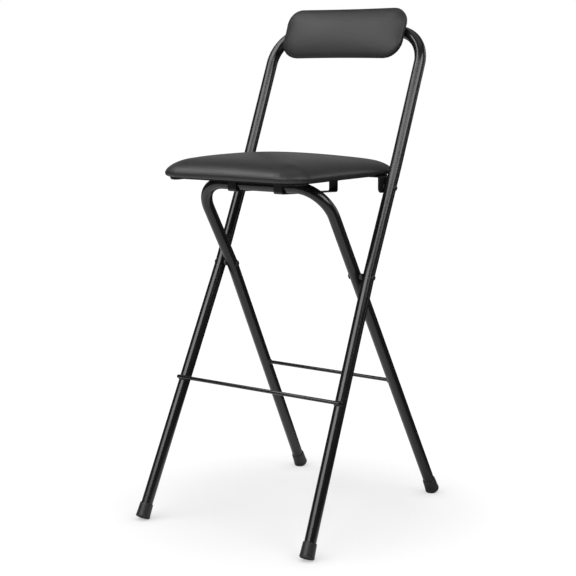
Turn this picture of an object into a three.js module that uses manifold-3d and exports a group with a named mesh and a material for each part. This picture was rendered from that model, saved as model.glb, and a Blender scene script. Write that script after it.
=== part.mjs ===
// A folding bar stool of round steel tube, in millimetres: +Z up, +X to the sitter's left, front towards -Y.
// The origin lies on the floor, in the middle of the stool's box.
// The main frame is one hoop that runs from the front feet up to the backrest. The rear frame is a shorter
// hoop that nests inside it, crosses it at two rivets and carries the front of the seat on its cross run.
// The seat turns on two rivets in the main frame, and two bars under it catch the cross run.
import * as THREE from "three";
import { mergeVertices } from "three/addons/utils/BufferGeometryUtils.js";
import Module from "manifold-3d";

const wasm = await Module();
wasm.setup();

// Tube of both frames
const tubeRadius = 12.5;
const tubeWall = 1.4;
const tubeSides = 20;
const touchGap = 0.3;

// Stance, measured from the rivets where the frames cross
const crossingHeight = 538;
const mainFootReach = 250;
const rearFootReach = 294.5;
const mainHalfWidth = 197;
const mainFootHalfWidth = 218.5;
const crossingGap = 7.5;
const footNesting = 31.5;

// Main frame above the crossing: a straight stretch to a slight bend, then the back
const bendReach = 103.5;
const bendRise = 228.5;
const topReach = 118;
const topRise = 279.5;
const mainCornerRadius = 74;
const kinkRadius = 160;
const seatPivotShare = 0.792;

// Rear frame above the crossing
const crossRunReach = 116.5;
const crossRunRise = 190;
const rearCornerRadius = 70;

// Footrest rods
const rodRadius = 4;
const rodHeight = 290;
const rodOverhang = 8;
const rodSides = 16;
const rodEndSteps = 4;

// Rubber foot caps
const capTopRadius = 14.4;
const capFootRadius = 15.9;
const capLength = 31;
const capFloor = 6;
const capChamfer = 1.4;
const capBandHeight = 3.6;
const capBandDepth = 0.5;
const capWear = 1.2;
const capSides = 28;

// Rivets and washers of the two pivots
const rivetRadius = 3;
const rivetHeadRadius = 5.8;
const rivetHeadHeight = 2.6;
const rivetSides = 16;
const runningGap = 0.25;
const spacerRadius = 6.6;
const spacerRearGap = 0.6;
const rivetDomeShares = [[1, 0.25], [0.86, 0.62], [0.5, 0.92], [0, 1]];
const washerRadius = 7.5;
const washerThickness = 1.6;
const innerWasherThickness = 1;

// Pressed steel under the seat
const steelThickness = 2.6;
const steelBendRadius = 3.2;
const barSpacing = 60;
const barWidth = 22;
const hookGap = 0.9;
const hookDrop = 29.5;
const hookLip = 5.5;
const hookLipShare = 0.8;
const stopReach = 13.8;
const stopDrop = 33.5;
const bracketFront = 22.5;
const bracketDepth = 40;
const earDrop = 11;
const earCornerRadius = 11;
const notchGap = 0.8;
const barScrewInset = 46;
const barScrewReach = 44;
const bracketScrewInset = 48;
const bracketScrewInner = 26;

// Pan head screws
const screwRadius = 2.1;
const screwHeadRadius = 4.4;
const screwHeadHeight = 2.2;
const screwBite = 7;
const screwSides = 12;
const screwHeadShares = [[0, 1], [0.62, 0.94], [0.92, 0.6], [1, 0]];

// Seat pad
const seatSideGap = 4.5;
const seatDepth = 377;
const seatOverhang = 57;
const seatFrontCorner = 62;
const seatRearCorner = 72;
const boardThickness = 9;
const boardInset = 12;
const lipRise = 1.8;
const seatSkirt = 8.5;
const seatCrown = 36.5;
const seatDrawIn = 2;

// Backrest pad
const backSideInset = 40;
const backHeight = 112;
const backDrop = 14;
const backCorner = 42;
const backDrawIn = 1;
const panelThickness = 1.6;
const panelInset = 9;
const backBoardInset = 7;
const backSkirt = 13;
const backCrown = 13;
const backScrewSpacing = 84;
const backScrewBite = 6.5;

// Sections of a padded cover: its lip runs in (inset, height) shares, its crown in shares of the plan
const lipShares = [[0.6, 0], [0.28, 0.06], [0.07, 0.36], [0, 1]];
const pocketMouthShare = 0.12;
const crownShares = [0.985, 0.95, 0.9, 0.82, 0.7, 0.55, 0.37, 0.18];
const domePower = 2.6;
const domeRoundness = 0.62;

// Facets of curves, and the overrun of every cut
const arcStep = THREE.MathUtils.degToRad(9);
const curveSegments = 6;
const padCornerSteps = 6;
const padSideSteps = 6;
const overrun = 20;

// Finishes
const frameFinish = { color: 0x161616, roughness: 0.32, metalness: 0.35 };
const vinylFinish = { color: 0x1e1e1e, roughness: 0.46, metalness: 0 };
const rubberFinish = { color: 0x1a1a1a, roughness: 0.72, metalness: 0 };
const boardFinish = { color: 0x2a241e, roughness: 0.85, metalness: 0 };
const steelFinish = { color: 0x1b1b1b, roughness: 0.4, metalness: 0.5 };
const nylonFinish = { color: 0x202020, roughness: 0.6, metalness: 0 };

// Places that follow from the sizes above
const rearHalfWidth = mainHalfWidth - tubeRadius * 2 - crossingGap;
const rearFootHalfWidth = mainFootHalfWidth - footNesting;
const mainInnerFace = mainHalfWidth - tubeRadius;
const seatHalfWidth = mainInnerFace - seatSideGap;
const seatFront = seatOverhang - seatDepth;
const backHalfWidth = mainHalfWidth - backSideInset;
const bracketScrewOuter = seatHalfWidth - bracketScrewInset;

const rightward = new THREE.Vector3(1, 0, 0);
const backward = new THREE.Vector3(0, 1, 0);
const upward = new THREE.Vector3(0, 0, 1);

// A closed geometry as a solid that can be joined and cut.
function solidOf(geometry) {
  const bare = geometry.clone();
  bare.deleteAttribute("normal");
  bare.deleteAttribute("uv");
  const merged = mergeVertices(bare);
  return new wasm.Manifold(
    new wasm.Mesh({
      numProp: 3,
      vertProperties: new Float32Array(merged.attributes.position.array),
      triVerts: new Uint32Array(merged.index.array),
    }),
  );
}

// A solid back as a geometry.
function geometryOf(solid) {
  const mesh = solid.getMesh();
  const geometry = new THREE.BufferGeometry();
  geometry.setAttribute("position", new THREE.BufferAttribute(mesh.vertProperties, 3));
  geometry.setIndex(new THREE.BufferAttribute(mesh.triVerts, 1));
  geometry.computeVertexNormals();
  return geometry;
}

// The base less each of the cutters, all geometries in one frame.
function cutFrom(base, cutters) {
  let solid = solidOf(base);
  for (const cutter of cutters) solid = solid.subtract(solidOf(cutter));
  return geometryOf(solid);
}

function namedMesh(name, geometry, finish) {
  const mesh = new THREE.Mesh(geometry, new THREE.MeshStandardMaterial(finish));
  mesh.name = name;
  return mesh;
}

// Stations along a polyline whose inner corners are rounded: each has a point and a unit tangent.
function roundedPath(points, radii) {
  const stations = [];
  const first = points[1].clone().sub(points[0]).normalize();
  stations.push({ point: points[0].clone(), tangent: first });
  for (let i = 1; i < points.length - 1; i += 1) {
    const into = points[i].clone().sub(points[i - 1]).normalize();
    const out = points[i + 1].clone().sub(points[i]).normalize();
    const turn = into.angleTo(out);
    const axis = into.clone().cross(out).normalize();
    const inward = axis.clone().cross(into);
    const start = points[i].clone().addScaledVector(into, -radii[i - 1] * Math.tan(turn / 2));
    const centre = start.clone().addScaledVector(inward, radii[i - 1]);
    const steps = Math.max(1, Math.ceil(turn / arcStep));
    for (let k = 0; k <= steps; k += 1) {
      const angle = (turn * k) / steps;
      const arm = inward.clone().negate().applyAxisAngle(axis, angle);
      stations.push({
        point: centre.clone().addScaledVector(arm, radii[i - 1]),
        tangent: into.clone().applyAxisAngle(axis, angle),
      });
    }
  }
  const end = points[points.length - 1];
  const last = end.clone().sub(points[points.length - 2]).normalize();
  stations.push({ point: end.clone(), tangent: last });
  return stations;
}

// A hollow round tube with open ends, as rings square to the path, an outer and an inner one at each station.
function tubeGeometry(stations, radius, wall, sides) {
  const positions = [];
  const triangles = [];
  let side = rightward.clone();
  if (Math.abs(side.dot(stations[0].tangent)) > Math.SQRT1_2) side = upward.clone();
  for (const { point, tangent } of stations) {
    side.addScaledVector(tangent, -side.dot(tangent)).normalize();
    const across = tangent.clone().cross(side);
    for (const ringRadius of [radius, radius - wall]) {
      for (let j = 0; j < sides; j += 1) {
        const angle = (j / sides) * Math.PI * 2;
        const place = point
          .clone()
          .addScaledVector(side, Math.cos(angle) * ringRadius)
          .addScaledVector(across, Math.sin(angle) * ringRadius);
        positions.push(place.x, place.y, place.z);
      }
    }
  }
  const outer = (i, j) => i * sides * 2 + (j % sides);
  const inner = (i, j) => outer(i, j) + sides;
  const quad = (a, b, c, d) => triangles.push(a, b, c, a, c, d);
  const last = stations.length - 1;
  for (let j = 0; j < sides; j += 1) {
    for (let i = 0; i < last; i += 1) {
      quad(outer(i, j), outer(i, j + 1), outer(i + 1, j + 1), outer(i + 1, j));
      quad(inner(i, j + 1), inner(i, j), inner(i + 1, j), inner(i + 1, j + 1));
    }
    quad(outer(0, j + 1), outer(0, j), inner(0, j), inner(0, j + 1));
    quad(outer(last, j), outer(last, j + 1), inner(last, j + 1), inner(last, j));
  }
  const geometry = new THREE.BufferGeometry();
  geometry.setAttribute("position", new THREE.Float32BufferAttribute(positions, 3));
  geometry.setIndex(triangles);
  geometry.computeVertexNormals();
  return geometry;
}

// A turned piece whose profile runs in (radius, height), stood with its height along a direction.
function turned(profile, sides, foot, direction) {
  const points = profile.map(([radius, height]) => new THREE.Vector2(radius, height));
  const geometry = new THREE.LatheGeometry(points, sides);
  const turn = new THREE.Quaternion().setFromUnitVectors(backward, direction);
  geometry.applyQuaternion(turn);
  geometry.translate(foot.x, foot.y, foot.z);
  return geometry;
}

// A plain round cutter between two heights along a direction.
function drill(radius, from, to, sides, foot, direction) {
  return turned([[0, from], [radius, from], [radius, to], [0, to]], sides, foot, direction);
}

// An outline in the (Y, Z) plane carried along X between two places.
function alongX(shape, from, to) {
  const geometry = new THREE.ExtrudeGeometry(shape, { depth: to - from, bevelEnabled: false, curveSegments });
  geometry.applyMatrix4(new THREE.Matrix4().makeBasis(backward, upward, rightward));
  geometry.translate(from, 0, 0);
  return geometry;
}

// An outline in the (X, Z) plane carried along Y between two places.
function alongY(shape, from, to) {
  const geometry = new THREE.ExtrudeGeometry(shape, { depth: to - from, bevelEnabled: false, curveSegments });
  geometry.applyMatrix4(new THREE.Matrix4().makeBasis(rightward, upward, backward.clone().negate()));
  geometry.translate(0, to, 0);
  return geometry;
}

// An outline in the (X, Y) plane carried up between two heights.
function alongZ(shape, from, to) {
  const geometry = new THREE.ExtrudeGeometry(shape, { depth: to - from, bevelEnabled: false, curveSegments });
  geometry.translate(0, 0, from);
  return geometry;
}

// The edge of a bent strip of steel: its middle line is a polyline with rounded bends.
function bentStrip(corners, bendRadius, thickness) {
  const points = corners.map(([a, b]) => new THREE.Vector3(a, b, 0));
  const stations = roundedPath(points, points.slice(2).map(() => bendRadius));
  const near = [];
  const far = [];
  for (const { point, tangent } of stations) {
    const normal = new THREE.Vector2(-tangent.y, tangent.x).multiplyScalar(thickness / 2);
    near.push(new THREE.Vector2(point.x, point.y).add(normal));
    far.push(new THREE.Vector2(point.x, point.y).sub(normal));
  }
  return new THREE.Shape([...near, ...far.reverse()]);
}

// A rectangle between two corners, with one corner radius at the low side of b and one at the high side.
function roundedRectangle(a0, b0, a1, b1, lowRadius, highRadius) {
  const shape = new THREE.Shape();
  shape.absarc(a1 - lowRadius, b0 + lowRadius, lowRadius, -Math.PI / 2, 0);
  shape.absarc(a1 - highRadius, b1 - highRadius, highRadius, 0, Math.PI / 2);
  shape.absarc(a0 + highRadius, b1 - highRadius, highRadius, Math.PI / 2, Math.PI);
  shape.absarc(a0 + lowRadius, b0 + lowRadius, lowRadius, Math.PI, Math.PI * 1.5);
  return shape;
}

// Points round a pad's plan: straight sides that draw in a little between rounded corners.
function padPlan(halfWidth, front, back, frontCorner, backCorner, drawIn, inset) {
  const corners = [
    [halfWidth - frontCorner, front + frontCorner, frontCorner, -Math.PI / 2],
    [halfWidth - backCorner, back - backCorner, backCorner, 0],
    [-halfWidth + backCorner, back - backCorner, backCorner, Math.PI / 2],
    [-halfWidth + frontCorner, front + frontCorner, frontCorner, Math.PI],
  ];
  const plan = [];
  for (const [x, y, radius, start] of corners) {
    for (let k = 0; k <= padCornerSteps; k += 1) {
      const angle = start + (Math.PI / 2) * (k / padCornerSteps);
      const reach = radius - inset;
      plan.push(new THREE.Vector2(x + Math.cos(angle) * reach, y + Math.sin(angle) * reach));
    }
  }
  const ring = [];
  const perCorner = padCornerSteps + 1;
  for (let i = 0; i < corners.length; i += 1) {
    for (let k = 0; k < perCorner; k += 1) ring.push(plan[i * perCorner + k]);
    const from = plan[i * perCorner + padCornerSteps];
    const to = plan[((i + 1) % corners.length) * perCorner];
    const inwards = new THREE.Vector2(from.y - to.y, to.x - from.x).normalize();
    for (let k = 1; k < padSideSteps; k += 1) {
      const share = k / padSideSteps;
      const sag = drawIn * Math.sin(Math.PI * share);
      ring.push(from.clone().lerp(to, share).addScaledVector(inwards, sag));
    }
  }
  return ring;
}

// A closed pad from rings of equal point counts, with a pole in the middle of its first and last ring.
// Each ring is a plan and a height. The rings run from the underside out, up and in over the crown.
function padGeometry(rings, lowHeight, highHeight, centre) {
  const positions = [centre.x, centre.y, lowHeight];
  const count = rings[0].plan.length;
  for (const { plan, height } of rings) for (const p of plan) positions.push(p.x, p.y, height);
  positions.push(centre.x, centre.y, highHeight);
  const topPole = positions.length / 3 - 1;
  const at = (i, j) => 1 + i * count + (j % count);
  const triangles = [];
  for (let j = 0; j < count; j += 1) {
    triangles.push(0, at(0, j + 1), at(0, j));
    for (let i = 0; i < rings.length - 1; i += 1) {
      triangles.push(at(i, j), at(i, j + 1), at(i + 1, j + 1));
      triangles.push(at(i, j), at(i + 1, j + 1), at(i + 1, j));
    }
    triangles.push(at(rings.length - 1, j), at(rings.length - 1, j + 1), topPole);
  }
  const geometry = new THREE.BufferGeometry();
  geometry.setAttribute("position", new THREE.Float32BufferAttribute(positions, 3));
  geometry.setIndex(triangles);
  geometry.computeVertexNormals();
  return geometry;
}

// A padded cover over a board: a pocket for the board underneath, a rolled lip round it, drawn-in sides
// and a crown. The plan function gives the outline at an inset; heights run from the board's underside.
function cushionGeometry(planAt, centre, pocketInset, pocketRoof, lip, skirt, crown) {
  const rings = [
    { plan: planAt(pocketInset), height: pocketRoof },
    { plan: planAt(pocketInset), height: lip + skirt * pocketMouthShare },
  ];
  for (const [insetShare, heightShare] of lipShares) {
    rings.push({ plan: planAt(pocketInset * insetShare), height: lip + skirt * heightShare });
  }
  const edge = planAt(0);
  for (const share of crownShares) {
    const height = lip + skirt + crown * (1 - share ** domePower) ** domeRoundness;
    rings.push({ plan: edge.map((p) => centre.clone().lerp(p, share)), height });
  }
  return padGeometry(rings, pocketRoof, lip + skirt + crown, centre);
}

// The lower end of a leg: the middle of the cap's end face, which is square to the leg and worn flat where
// its rim meets the floor. The leg runs up from there to the crossing.
function footCentre(crossing, halfWidth, footHalfWidth, reach) {
  const top = new THREE.Vector3(halfWidth, crossing.y, crossing.z);
  const foot = new THREE.Vector3(footHalfWidth, crossing.y + reach, 0);
  const settlingRounds = 8;
  for (let i = 0; i < settlingRounds; i += 1) {
    const slope = top.clone().sub(foot).normalize();
    foot.z = capFootRadius * Math.hypot(slope.x, slope.y) - capWear;
  }
  return foot;
}

const mirrored = (v) => new THREE.Vector3(-v.x, v.y, v.z);

// Where the frames cross: the origin stays in the middle of the depth, from cap edge to cap edge.
function crossingPlace() {
  const place = new THREE.Vector3(0, 0, crossingHeight);
  const main = footCentre(place, mainHalfWidth, mainFootHalfWidth, -mainFootReach);
  const rear = footCentre(place, rearHalfWidth, rearFootHalfWidth, rearFootReach);
  const rimReach = (foot, halfWidth) => {
    const slope = new THREE.Vector3(halfWidth, place.y, place.z).sub(foot).normalize();
    return capFootRadius * Math.hypot(slope.x, slope.z);
  };
  const front = main.y - rimReach(main, mainHalfWidth);
  const back = rear.y + rimReach(rear, rearHalfWidth);
  place.y = -(front + back) / 2;
  return place;
}

const crossing = crossingPlace();
const mainFoot = footCentre(crossing, mainHalfWidth, mainFootHalfWidth, -mainFootReach);
const rearFoot = footCentre(crossing, rearHalfWidth, rearFootHalfWidth, rearFootReach);
const bend = new THREE.Vector3(0, crossing.y + bendReach, crossing.z + bendRise);
const seatPivot = crossing.clone().lerp(bend, seatPivotShare);
const crossRun = new THREE.Vector3(0, crossing.y - crossRunReach, crossing.z + crossRunRise);
const backTop = new THREE.Vector3(0, bend.y + topReach, bend.z + topRise);

// One side of a leg from its foot to the crossing, and the direction up along it.
function legOf(foot, halfWidth) {
  const top = new THREE.Vector3(halfWidth, crossing.y, crossing.z);
  return { foot, top, upwards: top.clone().sub(foot).normalize() };
}

const mainLeg = legOf(mainFoot, mainHalfWidth);
const rearLeg = legOf(rearFoot, rearHalfWidth);
const legAt = (leg, height) =>
  leg.foot.clone().lerp(leg.top, (height - leg.foot.z) / (leg.top.z - leg.foot.z));
const tubeEnd = (leg) => leg.foot.clone().addScaledVector(leg.upwards, capFloor + touchGap);

// The path of a hoop from one foot over its top to the other, given its right half from the foot upwards.
function hoopPath(half, radii) {
  const left = half.map(mirrored).reverse();
  return roundedPath([...half, ...left], [...radii, ...radii.slice().reverse()]);
}

function crossHole(place, halfWidth, radius) {
  return drill(radius, -halfWidth - overrun, halfWidth + overrun, rivetSides, place, rightward);
}

// A rubber cap on the end of a leg, with a blind bore for the tube, a band round its foot and a worn flat.
function footCap(leg) {
  const profile = [
    [0, 0],
    [capFootRadius - capChamfer, 0],
    [capFootRadius, capChamfer],
    [capFootRadius, capBandHeight],
    [capFootRadius - capBandDepth, capBandHeight + capBandDepth],
    [capTopRadius, capLength - capChamfer],
    [capTopRadius - capChamfer / 2, capLength],
    [tubeRadius + touchGap, capLength],
    [tubeRadius + touchGap, capFloor],
    [0, capFloor],
  ];
  const cap = turned(profile, capSides, leg.foot, leg.upwards);
  const groundWidth = (capFootRadius + overrun) * 2;
  const ground = new THREE.BoxGeometry(groundWidth, groundWidth, capLength);
  ground.translate(leg.foot.x, leg.foot.y, -capLength / 2);
  return cutFrom(cap, [ground]);
}

// A rivet along X through a stack between two places, with a low domed head at each end.
function rivetGeometry(inner, outer) {
  const dome = (seat, height) => rivetDomeShares.map(([r, h]) => [rivetHeadRadius * r, seat + height * h]);
  const innerDome = dome(inner, -rivetHeadHeight).reverse();
  const outerDome = dome(outer, rivetHeadHeight);
  const profile = [
    ...innerDome,
    [rivetHeadRadius, inner],
    [rivetRadius, inner],
    [rivetRadius, outer],
    [rivetHeadRadius, outer],
    ...outerDome,
  ];
  return turned(profile, rivetSides, new THREE.Vector3(), rightward);
}

// A ring along X between two places.
function ringGeometry(inner, outer, radius) {
  const bore = rivetRadius + runningGap;
  const profile = [[bore, inner], [radius, inner], [radius, outer], [bore, outer], [bore, inner]];
  return turned(profile, rivetSides, new THREE.Vector3(), rightward);
}

// A pan head screw: its shank goes along +Y from the head's flat face, and the head rises the other way.
function screwGeometry(shankLength) {
  const profile = [
    ...screwHeadShares.map(([r, h]) => [screwHeadRadius * r, -screwHeadHeight * h]),
    [screwRadius, 0],
    [screwRadius, shankLength - screwRadius],
    [0, shankLength],
  ];
  return turned(profile, screwSides, new THREE.Vector3(), backward);
}

// A left and a right mesh, each made for the sign of its side.
function sidePair(group, name, make, finish) {
  for (const [side, sign] of [["left", -1], ["right", 1]]) {
    group.add(namedMesh(name + "_" + side, make(sign), finish));
  }
}

// A geometry made for the right side, and mirrored across the middle for the left.
function onSide(geometry, sign) {
  if (sign > 0) return geometry;
  const flipped = geometry.clone().toNonIndexed();
  flipped.scale(-1, 1, 1);
  const place = flipped.attributes.position;
  for (let i = 0; i < place.count; i += 3) {
    const [x, y, z] = [place.getX(i), place.getY(i), place.getZ(i)];
    place.setXYZ(i, place.getX(i + 1), place.getY(i + 1), place.getZ(i + 1));
    place.setXYZ(i + 1, x, y, z);
  }
  flipped.computeVertexNormals();
  return flipped;
}

const shifted = (geometry, place) => geometry.clone().translate(place.x, place.y, place.z);

// Backrest frame: its own axes lie in the plane of the upper hoop, with -Y out of its front.
const backLean = Math.atan2(topReach, topRise);
const panelFront = -tubeRadius - touchGap - panelThickness;
const backBoardRear = panelFront - touchGap;
const backBoardFront = backBoardRear - boardThickness;
const backLow = -backDrop - backHeight / 2;
const backHigh = -backDrop + backHeight / 2;

function backRectangle(inset) {
  const halfWidth = backHalfWidth - inset;
  const corner = backCorner - inset;
  return roundedRectangle(-halfWidth, backLow + inset, halfWidth, backHigh - inset, corner, corner);
}

function backScrewPlace(sign) {
  return new THREE.Vector3(sign * backScrewSpacing, tubeRadius + touchGap, 0);
}

function buildBackrest() {
  const group = new THREE.Group();
  group.position.copy(backTop);
  group.rotation.x = -backLean;
  const forward = backward.clone().negate();
  const holes = [-1, 1].map((sign) =>
    drill(screwRadius + touchGap, 0, -backBoardFront + tubeRadius, screwSides, backScrewPlace(sign), forward),
  );

  const panel = alongY(backRectangle(panelInset), panelFront, panelFront + panelThickness);
  group.add(namedMesh("backrest_back_panel", cutFrom(panel, holes), boardFinish));

  // The pad is made lying down, crown up, and then stood up against the board.
  const centre = new THREE.Vector2(0, (backLow + backHigh) / 2);
  const planAt = (inset) =>
    padPlan(backHalfWidth, backLow, backHigh, backCorner, backCorner, backDrawIn, inset);
  const board = alongY(new THREE.Shape(planAt(backBoardInset + touchGap)), backBoardFront, backBoardRear);
  group.add(namedMesh("backrest_board", cutFrom(board, holes), boardFinish));
  const roof = boardThickness + touchGap;
  const pad = cushionGeometry(planAt, centre, backBoardInset, roof, 0, backSkirt, backCrown);
  pad.applyMatrix4(new THREE.Matrix4().makeBasis(rightward, upward, forward));
  pad.translate(0, backBoardRear, 0);
  group.add(namedMesh("backrest_cushion", pad, vinylFinish));

  const shank = tubeRadius + touchGap - backBoardRear + backScrewBite;
  for (const [side, sign] of [["left", -1], ["right", 1]]) {
    const screw = namedMesh("backrest_screw_" + side, screwGeometry(shank), steelFinish);
    screw.position.copy(backScrewPlace(sign));
    screw.rotation.x = Math.PI;
    group.add(screw);
  }
  return group;
}

function buildMainFrame() {
  const group = new THREE.Group();
  const half = [
    tubeEnd(mainLeg),
    mainLeg.top,
    new THREE.Vector3(mainHalfWidth, bend.y, bend.z),
    new THREE.Vector3(mainHalfWidth, backTop.y, backTop.z),
  ];
  const hoop = tubeGeometry(
    hoopPath(half, [kinkRadius, kinkRadius, mainCornerRadius]),
    tubeRadius,
    tubeWall,
    tubeSides,
  );
  const holeRadius = rivetRadius + runningGap;
  const cutters = [crossing, seatPivot].map((place) => crossHole(place, mainHalfWidth, holeRadius));
  const forward = backward.clone().negate().applyAxisAngle(rightward, -backLean);
  for (const sign of [-1, 1]) {
    const place = backScrewPlace(sign).applyAxisAngle(rightward, -backLean).add(backTop);
    const through = tubeRadius * 2 + overrun;
    cutters.push(drill(screwRadius + touchGap, -overrun, through, screwSides, place, forward));
  }
  group.add(namedMesh("main_frame_tube", cutFrom(hoop, cutters), frameFinish));

  const meeting = legAt(mainLeg, rodHeight);
  const frontNormal = mainLeg.upwards.clone().cross(rightward).normalize();
  if (frontNormal.y > 0) frontNormal.negate();
  meeting.addScaledVector(frontNormal, tubeRadius + rodRadius + touchGap);
  const rodStraight = (meeting.x + rodOverhang - rodRadius) * 2;
  const rod = new THREE.CapsuleGeometry(rodRadius, rodStraight, rodEndSteps, rodSides);
  rod.rotateZ(Math.PI / 2);
  rod.translate(0, meeting.y, meeting.z);
  group.add(namedMesh("front_footrest_rod", rod, frameFinish));

  sidePair(group, "front_foot_cap", (sign) => onSide(footCap(mainLeg), sign), rubberFinish);

  const outerSeat = mainHalfWidth + tubeRadius + touchGap;
  const washerOuter = rearHalfWidth - tubeRadius - touchGap;
  const washerInner = washerOuter - innerWasherThickness;
  const rivet = shifted(rivetGeometry(washerInner - touchGap, outerSeat), crossing);
  sidePair(group, "pivot_rivet", (sign) => onSide(rivet, sign), steelFinish);
  const spacerInner = rearHalfWidth + tubeRadius + spacerRearGap;
  const spacer = shifted(ringGeometry(spacerInner, mainInnerFace - touchGap, spacerRadius), crossing);
  sidePair(group, "pivot_spacer", (sign) => onSide(spacer, sign), nylonFinish);
  const washer = shifted(ringGeometry(washerInner, washerOuter, washerRadius), crossing);
  sidePair(group, "pivot_washer", (sign) => onSide(washer, sign), steelFinish);

  const earOuter = mainInnerFace - washerThickness - touchGap * 2;
  const earInner = earOuter - steelThickness;
  const seatRivet = shifted(rivetGeometry(earInner - touchGap, outerSeat), seatPivot);
  sidePair(group, "seat_pivot_rivet", (sign) => onSide(seatRivet, sign), steelFinish);
  const seatWasher = shifted(
    ringGeometry(earOuter + touchGap, mainInnerFace - touchGap, washerRadius),
    seatPivot,
  );
  sidePair(group, "seat_pivot_washer", (sign) => onSide(seatWasher, sign), nylonFinish);

  group.add(buildBackrest());
  return group;
}

// The rear frame is made about the crossing, where it turns.
function buildRearFrame() {
  const group = new THREE.Group();
  group.position.copy(crossing);
  const local = (geometry) => geometry.translate(-crossing.x, -crossing.y, -crossing.z);
  const half = [
    tubeEnd(rearLeg),
    rearLeg.top,
    new THREE.Vector3(rearHalfWidth, crossRun.y, crossRun.z),
  ];
  const hoop = tubeGeometry(hoopPath(half, [kinkRadius, rearCornerRadius]), tubeRadius, tubeWall, tubeSides);
  const hole = crossHole(crossing, rearHalfWidth, rivetRadius + runningGap);
  group.add(namedMesh("rear_frame_tube", local(cutFrom(hoop, [hole])), frameFinish));

  const meeting = legAt(rearLeg, rodHeight);
  const sideways = Math.hypot(rearLeg.upwards.y, rearLeg.upwards.z);
  const rodEnd = meeting.x - tubeRadius / sideways - touchGap;
  const rodMiddle = new THREE.Vector3(0, meeting.y, meeting.z);
  const rod = drill(rodRadius, -rodEnd, rodEnd, rodSides, rodMiddle, rightward);
  group.add(namedMesh("rear_footrest_rod", local(rod), frameFinish));

  sidePair(group, "rear_foot_cap", (sign) => local(onSide(footCap(rearLeg), sign)), rubberFinish);
  return group;
}

// Heights under the seat, from the seat's pivot: the cross run carries the bars, and the bars the board.
const runBack = crossRun.y - seatPivot.y;
const runUp = crossRun.z - seatPivot.z;
const steelUnder = runUp + tubeRadius + touchGap;
const steelTop = steelUnder + steelThickness;
const boardUnder = steelTop + touchGap;
const boardTop = boardUnder + boardThickness;
const hookInner = runBack - tubeRadius - hookGap;
const hookMiddle = hookInner - steelThickness / 2;
const stopMiddle = -stopReach + steelThickness / 2;
const steelMiddle = steelUnder + steelThickness / 2;

// A bar of flat steel under the seat, bent down before the cross run and behind its folded place.
// The front hook has a short lip that turns back under the run.
function guideBar(middle) {
  const hookFoot = steelUnder - hookDrop;
  const bar = alongX(
    bentStrip(
      [
        [hookMiddle + hookLip, hookFoot - steelThickness * hookLipShare],
        [hookMiddle, hookFoot],
        [hookMiddle, steelMiddle],
        [stopMiddle, steelMiddle],
        [stopMiddle, steelUnder - stopDrop],
      ],
      steelBendRadius,
      steelThickness,
    ),
    middle - barWidth / 2,
    middle + barWidth / 2,
  );
  const holes = barScrewPlaces(middle).map((place) =>
    drill(screwRadius + touchGap, -overrun, overrun, screwSides, place, upward),
  );
  return cutFrom(bar, holes);
}

function barScrewPlaces(middle) {
  return [
    new THREE.Vector3(middle, hookInner + barScrewInset, steelUnder - touchGap),
    new THREE.Vector3(middle, -stopReach - barScrewReach, steelUnder - touchGap),
  ];
}

function bracketScrewPlaces() {
  const middle = -bracketFront + bracketDepth / 2;
  return [-bracketScrewOuter, -bracketScrewInner, bracketScrewInner, bracketScrewOuter].map(
    (x) => new THREE.Vector3(x, middle, steelUnder - touchGap),
  );
}

// The cross bracket: a flat strip under the rear of the board whose ends turn down into ears on the rivets.
function crossBracket() {
  const earOuter = mainInnerFace - washerThickness - touchGap * 2;
  const earMiddle = earOuter - steelThickness / 2;
  const strip = alongY(
    bentStrip(
      [
        [-earMiddle, -earDrop],
        [-earMiddle, steelMiddle],
        [earMiddle, steelMiddle],
        [earMiddle, -earDrop],
      ],
      steelBendRadius,
      steelThickness,
    ),
    -bracketFront,
    -bracketFront + bracketDepth,
  );
  const side = roundedRectangle(
    -bracketFront,
    -earDrop,
    -bracketFront + bracketDepth,
    steelTop + overrun,
    earCornerRadius,
    earCornerRadius,
  );
  const outline = alongX(side, -seatHalfWidth - overrun, seatHalfWidth + overrun);
  let solid = solidOf(strip).intersect(solidOf(outline));
  solid = solid.subtract(solidOf(crossHole(new THREE.Vector3(), mainHalfWidth, rivetRadius + runningGap)));
  for (const middle of [-barSpacing, barSpacing]) {
    const notch = new THREE.BoxGeometry(
      barWidth + notchGap * 2,
      (bracketFront - stopReach + steelThickness + notchGap) * 2,
      overrun,
    );
    notch.translate(middle, -bracketFront, steelMiddle);
    solid = solid.subtract(solidOf(notch));
  }
  for (const place of bracketScrewPlaces()) {
    solid = solid.subtract(
      solidOf(drill(screwRadius + touchGap, -overrun, overrun, screwSides, place, upward)),
    );
  }
  return geometryOf(solid);
}

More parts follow.
